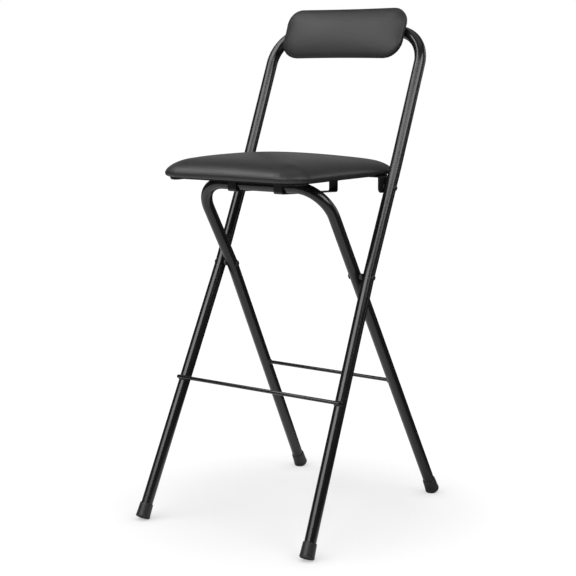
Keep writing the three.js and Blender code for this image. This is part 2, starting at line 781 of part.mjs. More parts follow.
// The seat is made about its pivot, where it turns.
function buildSeat() {
  const group = new THREE.Group();
  group.position.copy(seatPivot);
  const centre = new THREE.Vector2(0, (seatFront + seatOverhang) / 2);
  const planAt = (inset) =>
    padPlan(seatHalfWidth, seatFront, seatOverhang, seatFrontCorner, seatRearCorner, seatDrawIn, inset);

  const board = alongZ(new THREE.Shape(planAt(boardInset + touchGap)), boardUnder, boardTop);
  const screwPlaces = [
    ...barScrewPlaces(-barSpacing),
    ...barScrewPlaces(barSpacing),
    ...bracketScrewPlaces(),
  ];
  const pilots = screwPlaces.map((place) =>
    drill(screwRadius + touchGap, 0, boardTop, screwSides, place, upward),
  );
  group.add(namedMesh("seat_board", cutFrom(board, pilots), boardFinish));

  const pad = cushionGeometry(
    planAt,
    centre,
    boardInset,
    boardTop + touchGap,
    boardUnder + lipRise,
    seatSkirt,
    seatCrown,
  );
  group.add(namedMesh("seat_cushion", pad, vinylFinish));
  group.add(namedMesh("seat_cross_bracket", crossBracket(), steelFinish));
  sidePair(group, "seat_guide_bar", (sign) => guideBar(sign * barSpacing), steelFinish);

  const screwNames = [
    "guide_bar_screw_front_left",
    "guide_bar_screw_rear_left",
    "guide_bar_screw_front_right",
    "guide_bar_screw_rear_right",
    "bracket_screw_outer_left",
    "bracket_screw_inner_left",
    "bracket_screw_inner_right",
    "bracket_screw_outer_right",
  ];
  screwPlaces.forEach((place, i) => {
    const shank = touchGap + steelThickness + touchGap + screwBite;
    const screw = namedMesh(screwNames[i], screwGeometry(shank), steelFinish);
    screw.position.copy(place);
    screw.rotation.x = Math.PI / 2;
    group.add(screw);
  });
  return group;
}

const stool = new THREE.Group();
stool.add(buildMainFrame(), buildRearFrame(), buildSeat());

export default stool;
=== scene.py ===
"""A folding bar stool of round steel tube with two vinyl pads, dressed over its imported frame.

Lengths are in metres: +Z up, +X to the sitter's left, front towards -Y, the origin on the floor.
"""
import sys
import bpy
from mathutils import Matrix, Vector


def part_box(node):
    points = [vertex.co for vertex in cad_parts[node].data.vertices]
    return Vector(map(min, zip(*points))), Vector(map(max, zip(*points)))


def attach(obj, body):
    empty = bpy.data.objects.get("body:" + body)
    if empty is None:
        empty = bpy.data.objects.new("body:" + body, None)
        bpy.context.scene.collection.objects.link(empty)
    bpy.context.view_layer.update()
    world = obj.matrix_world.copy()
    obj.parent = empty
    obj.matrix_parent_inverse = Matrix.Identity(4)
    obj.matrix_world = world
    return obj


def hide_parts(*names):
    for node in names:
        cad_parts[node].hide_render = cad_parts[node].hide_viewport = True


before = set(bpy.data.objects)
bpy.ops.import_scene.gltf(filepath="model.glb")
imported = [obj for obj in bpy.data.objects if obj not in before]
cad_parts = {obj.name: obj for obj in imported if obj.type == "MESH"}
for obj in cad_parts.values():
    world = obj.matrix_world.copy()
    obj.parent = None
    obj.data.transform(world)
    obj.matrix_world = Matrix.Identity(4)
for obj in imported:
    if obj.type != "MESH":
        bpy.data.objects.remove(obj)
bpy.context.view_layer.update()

import logging
import math
from collections.abc import Iterator
from contextlib import contextmanager
from dataclasses import dataclass, field
from enum import Enum

import bmesh
import bpy
import numpy as np
from mathutils import Matrix, Vector

Array = np.ndarray
Colour = tuple[float, float, float]
MM = 0.001
SAME_POINT = 2e-6  # points of a shell that lie this close are one
NO_AREA = 1e-14  # a face smaller than this is a closed pole
ROUND_SIDES = 48  # points round a small turned piece
NEARLY_ALONG = 0.7  # a direction with this much of an axis runs along it
FLAT_ANGLE = 0.5  # degrees within which two faces are one
EDGE_ANGLE = 35.0  # degrees from which an edge is rounded
EASED_SHARP_ANGLE = 60.0  # degrees where the shading of a rounded copy breaks
PAD_SHARP_ANGLE = 75.0  # and that of a pad
SETTLING_ROUNDS = 8  # times that a foot is moved until it stands on the floor
RIGHTWARD = np.array([1.0, 0.0, 0.0])
BACKWARD = np.array([0.0, 1.0, 0.0])
UPWARD = np.array([0.0, 0.0, 1.0])

log = logging.getLogger("stool")


class Body(Enum):
    """The bodies that pieces ride on."""

    MAIN = "main_frame"
    REAR = "rear_frame"
    SEAT = "seat"


class Slot(Enum):
    """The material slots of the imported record."""

    PAINT = "tube_paint"
    STEEL = "steel_black"
    VINYL = "vinyl"
    RUBBER = "rubber"
    BOARD = "board"
    PANEL = "back_panel"
    NYLON = "nylon"


class Side(Enum):
    """The two sides of the stool, as the sign of X."""

    LEFT = -1
    RIGHT = 1

    @property
    def word(self) -> str:
        """The side's word in a piece's name."""
        return self.name.lower()


class Ends(Enum):
    """How the first and the last ring of a shell are closed."""

    CAPPED = "capped"
    LOOPED = "looped"


class Ray(Enum):
    """The kinds of ray that a surface can tell apart, as outputs of the Light Path node."""

    CAMERA = 0
    GLOSSY = 3
    TRANSMISSION = 6


# Shader nodes


class Wire:
    """One output of a shader node. Arithmetic on it adds Math nodes."""

    def __init__(self, tree: "Tree", socket: bpy.types.NodeSocket) -> None:
        """Wraps a socket of a tree.

        Args:
            tree: the tree that the socket's node is in.
            socket: the output socket.
        """
        self.tree = tree
        self.socket = socket

    def math(self, operation: str, *operands: "Wire | float") -> "Wire":
        """The result of one Math node with these operands."""
        return self.tree.add("ShaderNodeMath", {"operation": operation}, dict(enumerate(operands)))

    def __add__(self, other: "Wire | float") -> "Wire":
        """This and the other, added."""
        return self.math("ADD", self, other)

    __radd__ = __add__

    def __sub__(self, other: "Wire | float") -> "Wire":
        """This less the other."""
        return self.math("SUBTRACT", self, other)

    def __rsub__(self, other: float) -> "Wire":
        """The other less this."""
        return self.math("SUBTRACT", other, self)

    def __mul__(self, other: "Wire | float") -> "Wire":
        """This times the other."""
        return self.math("MULTIPLY", self, other)

    __rmul__ = __mul__

    def sine(self) -> "Wire":
        """The sine of this, taken in radians."""
        return self.math("SINE", self)

    def greater(self, other: "Wire | float") -> "Wire":
        """The greater of this and the other."""
        return self.math("MAXIMUM", self, other)

    def stepped(self, low: float, high: float) -> "Wire":
        """A smooth rise over a range.

        Args:
            low: where the rise starts, at 0.
            high: where it ends, at 1.

        Returns:
            The risen value.
        """
        settings = {"interpolation_type": "SMOOTHSTEP", "clamp": True}
        inputs = {"Value": self, "From Min": low, "From Max": high}
        return self.tree.add("ShaderNodeMapRange", settings, inputs)


class Tree:
    """The node tree of a material or of the world."""

    def __init__(self, tree: bpy.types.NodeTree) -> None:
        """Takes over a tree."""
        self.tree = tree

    def feed(self, socket: bpy.types.NodeSocket, value: "Wire | float | Colour") -> None:
        """Links a wire to an input, or sets the input's own value.

        Args:
            socket: the input.
            value: a wire, a number or a colour without its alpha.
        """
        if isinstance(value, Wire):
            self.tree.links.new(value.socket, socket)
        elif socket.type == "RGBA":
            socket.default_value = (*value, 1.0)
        else:
            socket.default_value = value

    def add(
        self, kind: str, settings: dict | None = None, inputs: dict | None = None, output: int = 0
    ) -> Wire:
        """Adds one node.

        Args:
            kind: the node's type.
            settings: the node's own settings, which are set first.
            inputs: values or wires for its input sockets, by name or number.
            output: the number of the output that is wanted.

        Returns:
            That output.
        """
        node = self.tree.nodes.new(kind)
        for name, value in (settings or {}).items():
            setattr(node, name, value)
        for key, value in (inputs or {}).items():
            self.feed(node.inputs[key], value)
        return Wire(self, node.outputs[output])

    def place(self) -> Wire:
        """Object coordinates, which are the stool's own, in metres."""
        return self.add("ShaderNodeTexCoord", output=3)

    def axis(self, vector: Wire, index: int) -> Wire:
        """One component of a vector."""
        return self.add("ShaderNodeSeparateXYZ", inputs={0: vector}, output=index)

    def ray(self, kind: Ray) -> Wire:
        """1 for rays of that kind and 0 for others."""
        return self.add("ShaderNodeLightPath", output=kind.value)

    def measure(self, operation: str, *vectors: "Wire | Colour") -> Wire:
        """One number from vectors, such as a dot product or a length."""
        return self.add("ShaderNodeVectorMath", {"operation": operation}, dict(enumerate(vectors)), 1)

    def stretched(self, vector: Wire, scale: Colour) -> Wire:
        """A vector times a scale of its own on each axis."""
        return self.add("ShaderNodeVectorMath", {"operation": "MULTIPLY"}, {0: vector, 1: scale})

    def noise(self, vector: Wire, scale: float, detail: float = 2.0) -> Wire:
        """Noise round 0.5, with scale features to the metre."""
        return self.add("ShaderNodeTexNoise", inputs={"Vector": vector, "Scale": scale, "Detail": detail})

    def cells(self, vector: Wire, scale: float) -> Wire:
        """Rounded cells: the smooth distance to the nearest of scattered points."""
        inputs = {"Vector": vector, "Scale": scale, "Smoothness": 0.4}
        return self.add("ShaderNodeTexVoronoi", {"feature": "SMOOTH_F1"}, inputs)

    def blend(self, share: Wire, first: "Wire | Colour", second: "Wire | Colour") -> Wire:
        """A colour between two others."""
        return self.add("ShaderNodeMix", {"data_type": "RGBA"}, {0: share, 6: first, 7: second}, output=2)

    def bump(self, height: Wire, distance: float) -> Wire:
        """A normal tilted by a height field that is distance metres deep."""
        return self.add("ShaderNodeBump", inputs={"Height": height, "Distance": distance, "Strength": 1.0})


# Finishes


@dataclass(frozen=True)
class Finish:
    """A finish of the stool's surfaces, for one of the record's slots.

    Its colour is linear, and its specular level is the shader's own. In the finishes below a scale is
    features to the metre, a share how much a pattern gives to a colour or a height, a gloss what it adds to
    the roughness, and an edge where it starts and where it is full.
    """

    name: str
    slot: Slot
    colour: Colour
    roughness: float
    specular: float = 0.5
    metallic: float = 0.0

    def material(self) -> bpy.types.Material:
        """The finish's material, made once.

        Returns:
            The material, with the surface's wires on its shader.
        """
        known = bpy.data.materials.get(self.name)
        if known is not None:
            return known
        made = bpy.data.materials.new(self.name)
        made.use_nodes = True
        tree = Tree(made.node_tree)
        shader = made.node_tree.nodes["Principled BSDF"].inputs
        shader["Specular IOR Level"].default_value = self.specular
        shader["Metallic"].default_value = self.metallic
        for socket, value in self.surface(tree).items():
            tree.feed(shader[socket], value)
        made.diffuse_color = (*self.colour, 1.0)
        return made

    def surface(self, tree: Tree) -> dict[str, Wire]:
        """What varies over the surface.

        Args:
            tree: the material's node tree.

        Returns:
            The wires, by the shader's socket.
        """
        raise NotImplementedError


@dataclass(frozen=True)
class PowderCoat(Finish):
    """Black powder coat: a faint orange peel, clouded gloss and a few paler rubs."""

    peel_scale: float = 480.0
    peel_depth: float = 0.000003
    cloud_scale: float = 11.0
    streak_scale: float = 140.0
    rub_start: float = 0.34
    rub_full: float = 0.46
    rub_colour: Colour = (0.02, 0.02, 0.021)
    rub_share: float = 0.5
    rub_gloss: float = 0.05
    cloud_gloss: float = 0.14

    def surface(self, tree: Tree) -> dict[str, Wire]:
        """Peel is fine noise, clouds are broad noise, and rubs are streaks where both run high.

        Args:
            tree: the material's node tree.

        Returns:
            The wires, by the shader's socket.
        """
        place = tree.place()
        cloud = tree.noise(place, self.cloud_scale, 3.0)
        rub = (cloud * tree.noise(place, self.streak_scale, 4.0)).stepped(self.rub_start, self.rub_full)
        return {
            "Base Color": tree.blend(rub * self.rub_share, self.colour, self.rub_colour),
            "Roughness": self.roughness + (cloud - 0.5) * self.cloud_gloss + rub * self.rub_gloss,
            "Normal": tree.bump(tree.noise(place, self.peel_scale), self.peel_depth),
        }


@dataclass(frozen=True)
class Vinyl(Finish):
    """Soft vinyl with a fine pebbled grain, a little smoother on its pebbles than between them.

    Below the hem's height its dull backing shows, darkened to near black as painted shade under the lip.
    """

    grain_scale: float = 780.0
    grain_depth: float = 0.00011
    bend_scale: float = 300.0
    fine_scale: float = 2400.0
    cloud_scale: float = 16.0
    pale: Colour = (0.024, 0.024, 0.0247)
    # near black backing below the hem: the vinyl's backing and painted shade under the lip
    backing_and_shade: Colour = (0.003, 0.003, 0.003)
    dulling: float = 0.5
    hem_height: float = 0.0
    hem_blend: float = 1 * MM
    pebble_share: float = 0.8
    fine_share: float = 0.15
    bend_share: float = 0.25
    cloud_share: float = 0.35
    valley_share: float = 0.25
    cloud_gloss: float = 0.12
    pebble_gloss: float = 0.06

    def surface(self, tree: Tree) -> dict[str, Wire]:
        """The grain is rounded cells with noise over them. Valleys are paler and duller than the pebbles.

        Args:
            tree: the material's node tree.

        Returns:
            The wires, by the shader's socket.
        """
        place = tree.place()
        pebbles = tree.cells(place, self.grain_scale)
        fine = tree.noise(place, self.fine_scale, 1.0)
        bends = tree.noise(place, self.bend_scale)
        height = (1 - pebbles) * self.pebble_share + fine * self.fine_share + bends * self.bend_share
        cloud = tree.noise(place, self.cloud_scale, 4.0)
        hem = self.hem_height
        # face is 0 below the hem's height, where the colour turns to the near black backing: painted shade
        # under the lip
        face = tree.axis(place, 2).stepped(hem - self.hem_blend, hem + self.hem_blend)
        paler = cloud * self.cloud_share + (1 - pebbles) * self.valley_share
        vinyl = tree.blend(paler, self.colour, self.pale)
        worn = self.roughness + (cloud - 0.5) * self.cloud_gloss + pebbles * self.pebble_gloss
        return {
            "Base Color": tree.blend(face, self.backing_and_shade, vinyl),
            "Roughness": worn + (1 - face) * self.dulling,
            "Normal": tree.bump(height, self.grain_depth),
        }


@dataclass(frozen=True)
class Rubber(Finish):
    """Moulded rubber: matt, with floor dust that grows paler towards the ground."""

    dust: Colour = (0.075, 0.073, 0.07)
    dust_height: float = 14 * MM
    dust_edge: tuple[float, float] = (0.3, 0.75)
    dust_share: float = 0.6
    dust_gloss: float = 0.15
    speck_gloss: float = 0.08
    speck_scale: float = 260.0
    grain_scale: float = 1500.0
    grain_depth: float = 0.00005

    def surface(self, tree: Tree) -> dict[str, Wire]:
        """Dust is noise that fades out with height above the floor.

        Args:
            tree: the material's node tree.

        Returns:
            The wires, by the shader's socket.
        """
        place = tree.place()
        low = 1 - tree.axis(place, 2).stepped(0.0, self.dust_height)
        specks = tree.noise(place, self.speck_scale, 4.0)
        dust = (low * specks).stepped(*self.dust_edge)
        return {
            "Base Color": tree.blend(dust * self.dust_share, self.colour, self.dust),
            "Roughness": self.roughness + dust * self.dust_gloss + (specks - 0.5) * self.speck_gloss,
            "Normal": tree.bump(tree.noise(place, self.grain_scale), self.grain_depth),
        }


@dataclass(frozen=True)
class Plywood(Finish):
    """Dark stained plywood: grain along X on its faces and thin plies round its edges."""

    pale: Colour = (0.075, 0.058, 0.043)
    ply: float = 0.0018
    ply_edge: float = 0.3
    ply_share: float = 0.3
    grain_stretch: Colour = (9.0, 190.0, 190.0)
    grain_depth: float = 0.0002
    grain_edge: tuple[float, float] = (0.35, 0.7)
    grain_share: float = 0.7
    grain_gloss: float = 0.2

    def surface(self, tree: Tree) -> dict[str, Wire]:
        """Grain is noise drawn out along X. Plies alternate with height.

        Args:
            tree: the material's node tree.

        Returns:
            The wires, by the shader's socket.
        """
        place = tree.place()
        grain = tree.noise(tree.stretched(place, self.grain_stretch), 1.0, 5.0)
        layer = (tree.axis(place, 2) * (math.pi / self.ply)).sine().stepped(-self.ply_edge, self.ply_edge)
        paler = grain.stepped(*self.grain_edge) * self.grain_share + layer * self.ply_share
        return {
            "Base Color": tree.blend(paler, self.colour, self.pale),
            "Roughness": self.roughness + (grain - 0.5) * self.grain_gloss,
            "Normal": tree.bump(grain, self.grain_depth),
        }


@dataclass(frozen=True)
class Moulded(Finish):
    """Moulded nylon, faced board or plated wire: an even fine texture."""

    texture_scale: float = 1300.0
    texture_depth: float = 0.00005
    cloud_scale: float = 30.0
    cloud_share: float = 0.4
    cloud_gloss: float = 0.1
    pale: Colour = (0.05, 0.05, 0.05)

    def surface(self, tree: Tree) -> dict[str, Wire]:
        """Fine noise as texture, and broad noise as slight clouds in colour and gloss.

        Args:
            tree: the material's node tree.

        Returns:
            The wires, by the shader's socket.
        """
        place = tree.place()
        cloud = tree.noise(place, self.cloud_scale, 3.0)
        return {
            "Base Color": tree.blend(cloud * self.cloud_share, self.colour, self.pale),
            "Roughness": self.roughness + (cloud - 0.5) * self.cloud_gloss,
            "Normal": tree.bump(tree.noise(place, self.texture_scale), self.texture_depth),
        }


coat_grey, vinyl_black = (0.009, 0.009, 0.0094), (0.013, 0.013, 0.0134)
tube_coat = PowderCoat("black_powder_coat", Slot.PAINT, (0.006, 0.006, 0.0063), 0.22)
steel_coat = PowderCoat("satin_black_steel", Slot.STEEL, coat_grey, 0.36, specular=0.45, peel_scale=900.0)
weld_coat = PowderCoat("coated_weld", Slot.PAINT, coat_grey, 0.26, peel_depth=0.00012)
# below hem_height the seat's vinyl shows near black: painted shade under the lip
pad_vinyl = Vinyl("black_vinyl", Slot.VINYL, vinyl_black, 0.4, specular=0.4, hem_height=746.5 * MM)
back_vinyl = Vinyl("matt_black_vinyl", Slot.VINYL, vinyl_black, 0.43, specular=0.33)
cap_rubber = Rubber("black_rubber", Slot.RUBBER, (0.012, 0.012, 0.012), 0.44, specular=0.45)
stained_ply = Plywood("dark_plywood", Slot.BOARD, (0.034, 0.027, 0.021), 0.7, specular=0.3)
black_nylon = Moulded("black_nylon", Slot.NYLON, (0.022, 0.022, 0.023), 0.5, specular=0.4)
faced_board = Moulded(
    "faced_board", Slot.PANEL, (0.03, 0.03, 0.03), 0.62, specular=0.35, texture_depth=0.00009
)
zinc_wire = Moulded(
    "zinc_wire", Slot.STEEL, (0.42, 0.42, 0.43), 0.38, metallic=1.0, pale=(0.55, 0.55, 0.55)
)


# Surfaces


def unit(vectors: Array) -> Array:
    """The vectors at length 1."""
    return vectors / np.linalg.norm(vectors, axis=-1, keepdims=True)


def ring_faces(count: int, sides: int, looped: bool) -> Array:
    """Faces between neighbouring rings of a lattice.

    Args:
        count: how many rings there are.
        sides: how many points each ring has.
        looped: whether the last ring joins the first.

    Returns:
        Rows of four point numbers, ring i and i + 1 at side j and j + 1.
    """
    along = np.arange(count if looped else count - 1)[:, None]
    around = np.arange(sides)[None, :]
    ahead = (along + 1) % count
    beside = (around + 1) % sides
    corners = [along * sides + around, along * sides + beside, ahead * sides + beside, ahead * sides + around]
    return np.stack(corners, axis=-1).reshape(-1, 4)


def rounded_path(
    points: Array, radii: list[float], turn_step: float = math.radians(3)
) -> tuple[Array, Array]:
    """A polyline with its corners rounded.

    Each corner's arc has its centre on the corner's bisector and meets both stretches on a tangent.

    Args:
        points: the polyline's points.
        radii: one radius for each inner corner.
        turn_step: the greatest turn between two stations.

    Returns:
        The stations' places and their unit tangents.
    """
    ways = unit(np.diff(points, axis=0))
    places, tangents = [points[:1]], [ways[:1]]
    for corner, into, out, radius in zip(points[1:-1], ways[:-1], ways[1:], radii):
        turn = math.acos(np.clip(into @ out, -1.0, 1.0))
        inward = unit(out - (out @ into) * into)
        start = corner - into * radius * math.tan(turn / 2)
        steps = np.linspace(0.0, turn, max(2, math.ceil(turn / turn_step) + 1))[:, None]
        places.append(start + radius * (np.sin(steps) * into + (1 - np.cos(steps)) * inward))
        tangents.append(np.cos(steps) * into + np.sin(steps) * inward)
    places.append(points[-1:])
    tangents.append(ways[-1:])
    return np.concatenate(places), np.concatenate(tangents)


def swept(places: Array, tangents: Array, reference: Array, section: Array) -> Array:
    """Rings of a section carried along a path.

    The section's first axis lies along tangent x reference and its second along first axis x tangent.

    Args:
        places: the path's stations.
        tangents: their unit tangents.
        reference: a direction that no tangent lies along.
        section: the section's points, one set for all stations or one for each.

    Returns:
        An array of stations x section points x 3.
    """
    first = unit(np.cross(tangents, reference))
    second = np.cross(first, tangents)
    section = np.broadcast_to(section, (len(places), *section.shape[-2:]))
    return places[:, None] + section[..., :1] * first[:, None] + section[..., 1:] * second[:, None]


def circle(sides: int) -> Array:
    """A unit circle of that many points."""
    angles = np.arange(sides) * (2 * math.pi / sides)
    return np.stack([np.cos(angles), np.sin(angles)], axis=-1)


def turned(profile: Array, sides: int, foot: Array, way: Array) -> Array:
    """Rings of a turned piece: a profile spun round an axis.

    Args:
        profile: rows of a radius and a height along the axis.
        sides: how many points each ring has.
        foot: where the heights are counted from.
        way: the axis's unit direction.

    Returns:
        An array of profile rows x sides x 3.
    """
    helper = BACKWARD if abs(way[1]) < NEARLY_ALONG else RIGHTWARD
    places = foot + profile[:, 1:] * way
    tangents = np.broadcast_to(way, places.shape)
    return swept(places, tangents, helper, profile[:, :1, None] * circle(sides))


def rounded_section(width: float, height: float, corner: float) -> Array:
    """A rectangle round the origin with rounded corners: four quarter circles set apart.

    Args:
        width: its size along the first axis.
        height: its size along the second.
        corner: the radius of its corners.

    Returns:
        Its points, two numbers each.
    """
    quarter = np.linspace(0.0, math.pi / 2, 4)
    angles = np.concatenate([quarter + k * math.pi / 2 for k in range(4)])
    signs = np.repeat(np.array([[1, 1], [-1, 1], [-1, -1], [1, -1]]), len(quarter), axis=0)
    middle = signs * np.array([width / 2 - corner, height / 2 - corner])
    return middle + corner * np.stack([np.cos(angles), np.sin(angles)], axis=-1)


def lattice(cells: int) -> tuple[Array, Array]:
    """The point numbers of a square lattice.

    Args:
        cells: how many cells it has along each side.

    Returns:
        Its faces as rows of four point numbers, and the numbers once round its rim.
    """
    number = np.arange((cells + 1) ** 2).reshape(cells + 1, cells + 1)
    corners = [number[:-1, :-1], number[1:, :-1], number[1:, 1:], number[:-1, 1:]]
    rim = np.concatenate([number[:-1, 0], number[-1, :-1], number[:0:-1, -1], number[0, :0:-1]])
    return np.stack(corners, axis=-1).reshape(-1, 4), rim


def doubled(values: Array) -> Array:
    """Values with a midpoint between each two, read from the cubic through the four nearest.

    Args:
        values: the values, along the first axis.

    Returns:
        The values and their midpoints in turn.
    """
    wide = np.concatenate([2 * values[:1] - values[1:2], values, 2 * values[-1:] - values[-2:-1]])
    out = np.empty((2 * len(values) - 1, *values.shape[1:]))
    out[::2] = values
    out[1::2] = (9 * (wide[1:-2] + wide[2:-1]) - wide[:-3] - wide[3:]) / 16
    return out


def run_along(line: Array) -> Array:
    """The length of a polyline up to each of its points."""
    return np.concatenate([[0.0], np.cumsum(np.linalg.norm(np.diff(line, axis=0), axis=1))])


def read_rows(at: Array, knots: Array, rows: Array) -> Array:
    """Rows read at places between their knots, in straight lines."""
    return np.stack([np.interp(at, knots, column) for column in rows.T], axis=-1)


# Meshes


def new_mesh(name: str, points: Array, faces: list[list[int]]) -> bpy.types.Mesh:
    """A mesh of points and faces.

    Args:
        name: the mesh's name.
        points: the points, three numbers each on the last axis.
        faces: the point numbers of each face.

    Returns:
        The mesh.
    """
    mesh = bpy.data.meshes.new(name)
    mesh.from_pydata(points.reshape(-1, 3).tolist(), [], faces)
    return mesh


@contextmanager
def edited(mesh: bpy.types.Mesh) -> Iterator[bmesh.types.BMesh]:
    """A mesh opened for editing. Its faces are turned outwards when it is put back.

    Args:
        mesh: the mesh.

    Returns:
        Its editable form.
    """
    work = bmesh.new()
    work.from_mesh(mesh)
    yield work
    bmesh.ops.recalc_face_normals(work, faces=work.faces)
    work.to_mesh(mesh)
    work.free()


def linked(name: str, data: bpy.types.ID) -> bpy.types.Object:
    """A new object in the scene.

    Args:
        name: the object's name.
        data: the mesh, lamp or camera that it shows.

    Returns:
        The object.
    """
    made = bpy.data.objects.new(name, data)
    bpy.context.scene.collection.objects.link(made)
    return made


def evaluated(made: bpy.types.Object) -> bpy.types.Object:
    """The object with its modifiers worked out."""
    return made.evaluated_get(bpy.context.evaluated_depsgraph_get())


def read_points(made: bpy.types.Object, attribute: str = "co") -> Array:
    """What a mesh says of its points.

    Args:
        made: the mesh's object.
        attribute: co for the points' places, or normal for their normals.

    Returns:
        One row of three numbers for each point.
    """
    values = np.empty(len(made.data.vertices) * 3)
    made.data.vertices.foreach_get(attribute, values)
    return values.reshape(-1, 3)


def move_points(made: bpy.types.Object, points: Array) -> None:
    """Puts a mesh's points at these places."""
    made.data.vertices.foreach_set("co", points.ravel())


def shade(mesh: bpy.types.Mesh, sharp_angle: float) -> None:
    """Smooth shading that breaks where faces meet at more than that angle, in degrees."""
    mesh.shade_smooth()
    mesh.set_sharp_from_angle(angle=math.radians(sharp_angle))


def node_box(node: str) -> tuple[Array, Array]:
    """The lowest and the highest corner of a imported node's box."""
    low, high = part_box(node)
    return np.array(low), np.array(high)


@dataclass
class Piece:
    """A named mesh put together from closed shells, with its finish and body.

    stands_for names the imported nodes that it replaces, and sharp_angle is where shading breaks, in degrees.
    """

    name: str
    finish: Finish
    body: Body
    stands_for: tuple[str, ...] = ()
    sharp_angle: float = 38.0
    points: list[Array] = field(default_factory=list)
    faces: list[list[int]] = field(default_factory=list)

    def shell(self, rings: Array, ends: Ends = Ends.CAPPED) -> "Piece":
        """Adds one closed shell.

        Args:
            rings: an array of rings x sides x 3.
            ends: whether its end rings are capped or joined to each other.

        Returns:
            The piece itself.
        """
        count, sides = rings.shape[:2]
        start = sum(len(known) for known in self.points)
        self.points.append(rings.reshape(-1, 3))
        self.faces += (ring_faces(count, sides, ends is Ends.LOOPED) + start).tolist()
        if ends is Ends.CAPPED:
            self.faces.append((np.arange(sides)[::-1] + start).tolist())
            self.faces.append((np.arange(sides) + start + (count - 1) * sides).tolist())
        return self

    def build(self) -> None:
        """Makes the piece: welds its poles, turns its faces outwards, dresses it and lets it ride."""
        mesh = new_mesh(self.name, np.concatenate(self.points), self.faces)
        with edited(mesh) as work:
            bmesh.ops.remove_doubles(work, verts=work.verts, dist=SAME_POINT)
            flat = [face for face in work.faces if face.calc_area() < NO_AREA]
            bmesh.ops.delete(work, geom=flat, context="FACES_ONLY")
        shade(mesh, self.sharp_angle)
        settle_piece(linked(self.name, mesh), self.finish, self.body, self.stands_for)


def settle_piece(
    made: bpy.types.Object, finish: Finish, body: Body, stands_for: tuple[str, ...]
) -> None:
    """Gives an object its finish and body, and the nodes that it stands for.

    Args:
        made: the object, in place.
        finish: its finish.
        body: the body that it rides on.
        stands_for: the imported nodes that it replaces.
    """
    made.data.materials.clear()
    made.data.materials.append(finish.material())
    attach(made, body.value)
    if stands_for:
        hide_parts(*stands_for)
    log.info("%s: %d faces, on %s", made.name, len(made.data.polygons), body.value)


def eased_copy(node: str, name: str, edge: float, finish: Finish, body: Body) -> None:
    """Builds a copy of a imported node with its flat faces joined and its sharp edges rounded.

    Args:
        node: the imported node, which the copy stands for.
        name: the copy's name.
        edge: the radius of the rounded edges.
        finish: its finish.
        body: its body.
    """
    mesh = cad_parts[node].data.copy()
    with edited(mesh) as work:
        bmesh.ops.remove_doubles(work, verts=work.verts, dist=SAME_POINT / 2)
        flat = math.radians(FLAT_ANGLE)
        bmesh.ops.dissolve_limit(work, angle_limit=flat, verts=work.verts, edges=work.edges)
    mesh.name = name
    made = linked(name, mesh)
    bevel = made.modifiers.new("edges", "BEVEL")
    bevel.width = edge
    bevel.segments = 2
    bevel.limit_method = "ANGLE"
    bevel.angle_limit = math.radians(EDGE_ANGLE)
    shade(mesh, EASED_SHARP_ANGLE)
    settle_piece(made, finish, body, (node,))


# The stool's lines


def mirrored(points: Array, side: Side) -> Array:
    """Points made for the right side, on that side."""
    return points * np.array([side.value, 1.0, 1.0])


def centred(point: Array) -> Array:
    """A point moved sideways onto the middle plane."""
    return point * np.array([0.0, 1.0, 1.0])


def beyond(origin: Array, offset: tuple[float, float]) -> Array:
    """A point offset backwards and upwards."""
    return origin + np.array([0.0, *offset])


@dataclass(frozen=True)
class Leg:
    """A hoop's straight stretch on the right side, from the middle of its cap's end face to the crossing."""

    foot: Array
    top: Array

    @property
    def upwards(self) -> Array:
        """The unit direction up the leg."""
        return unit(self.top - self.foot)

    @property
    def forwards(self) -> Array:
        """The unit direction square to the leg and to X that faces the front."""
        square = unit(np.cross(self.upwards, RIGHTWARD))
        return square if square[1] < 0 else -square

    def at(self, height: float) -> Array:
        """The point of the centre line at that height."""
        share = (height - self.foot[2]) / (self.top[2] - self.foot[2])
        return self.foot + (self.top - self.foot) * share


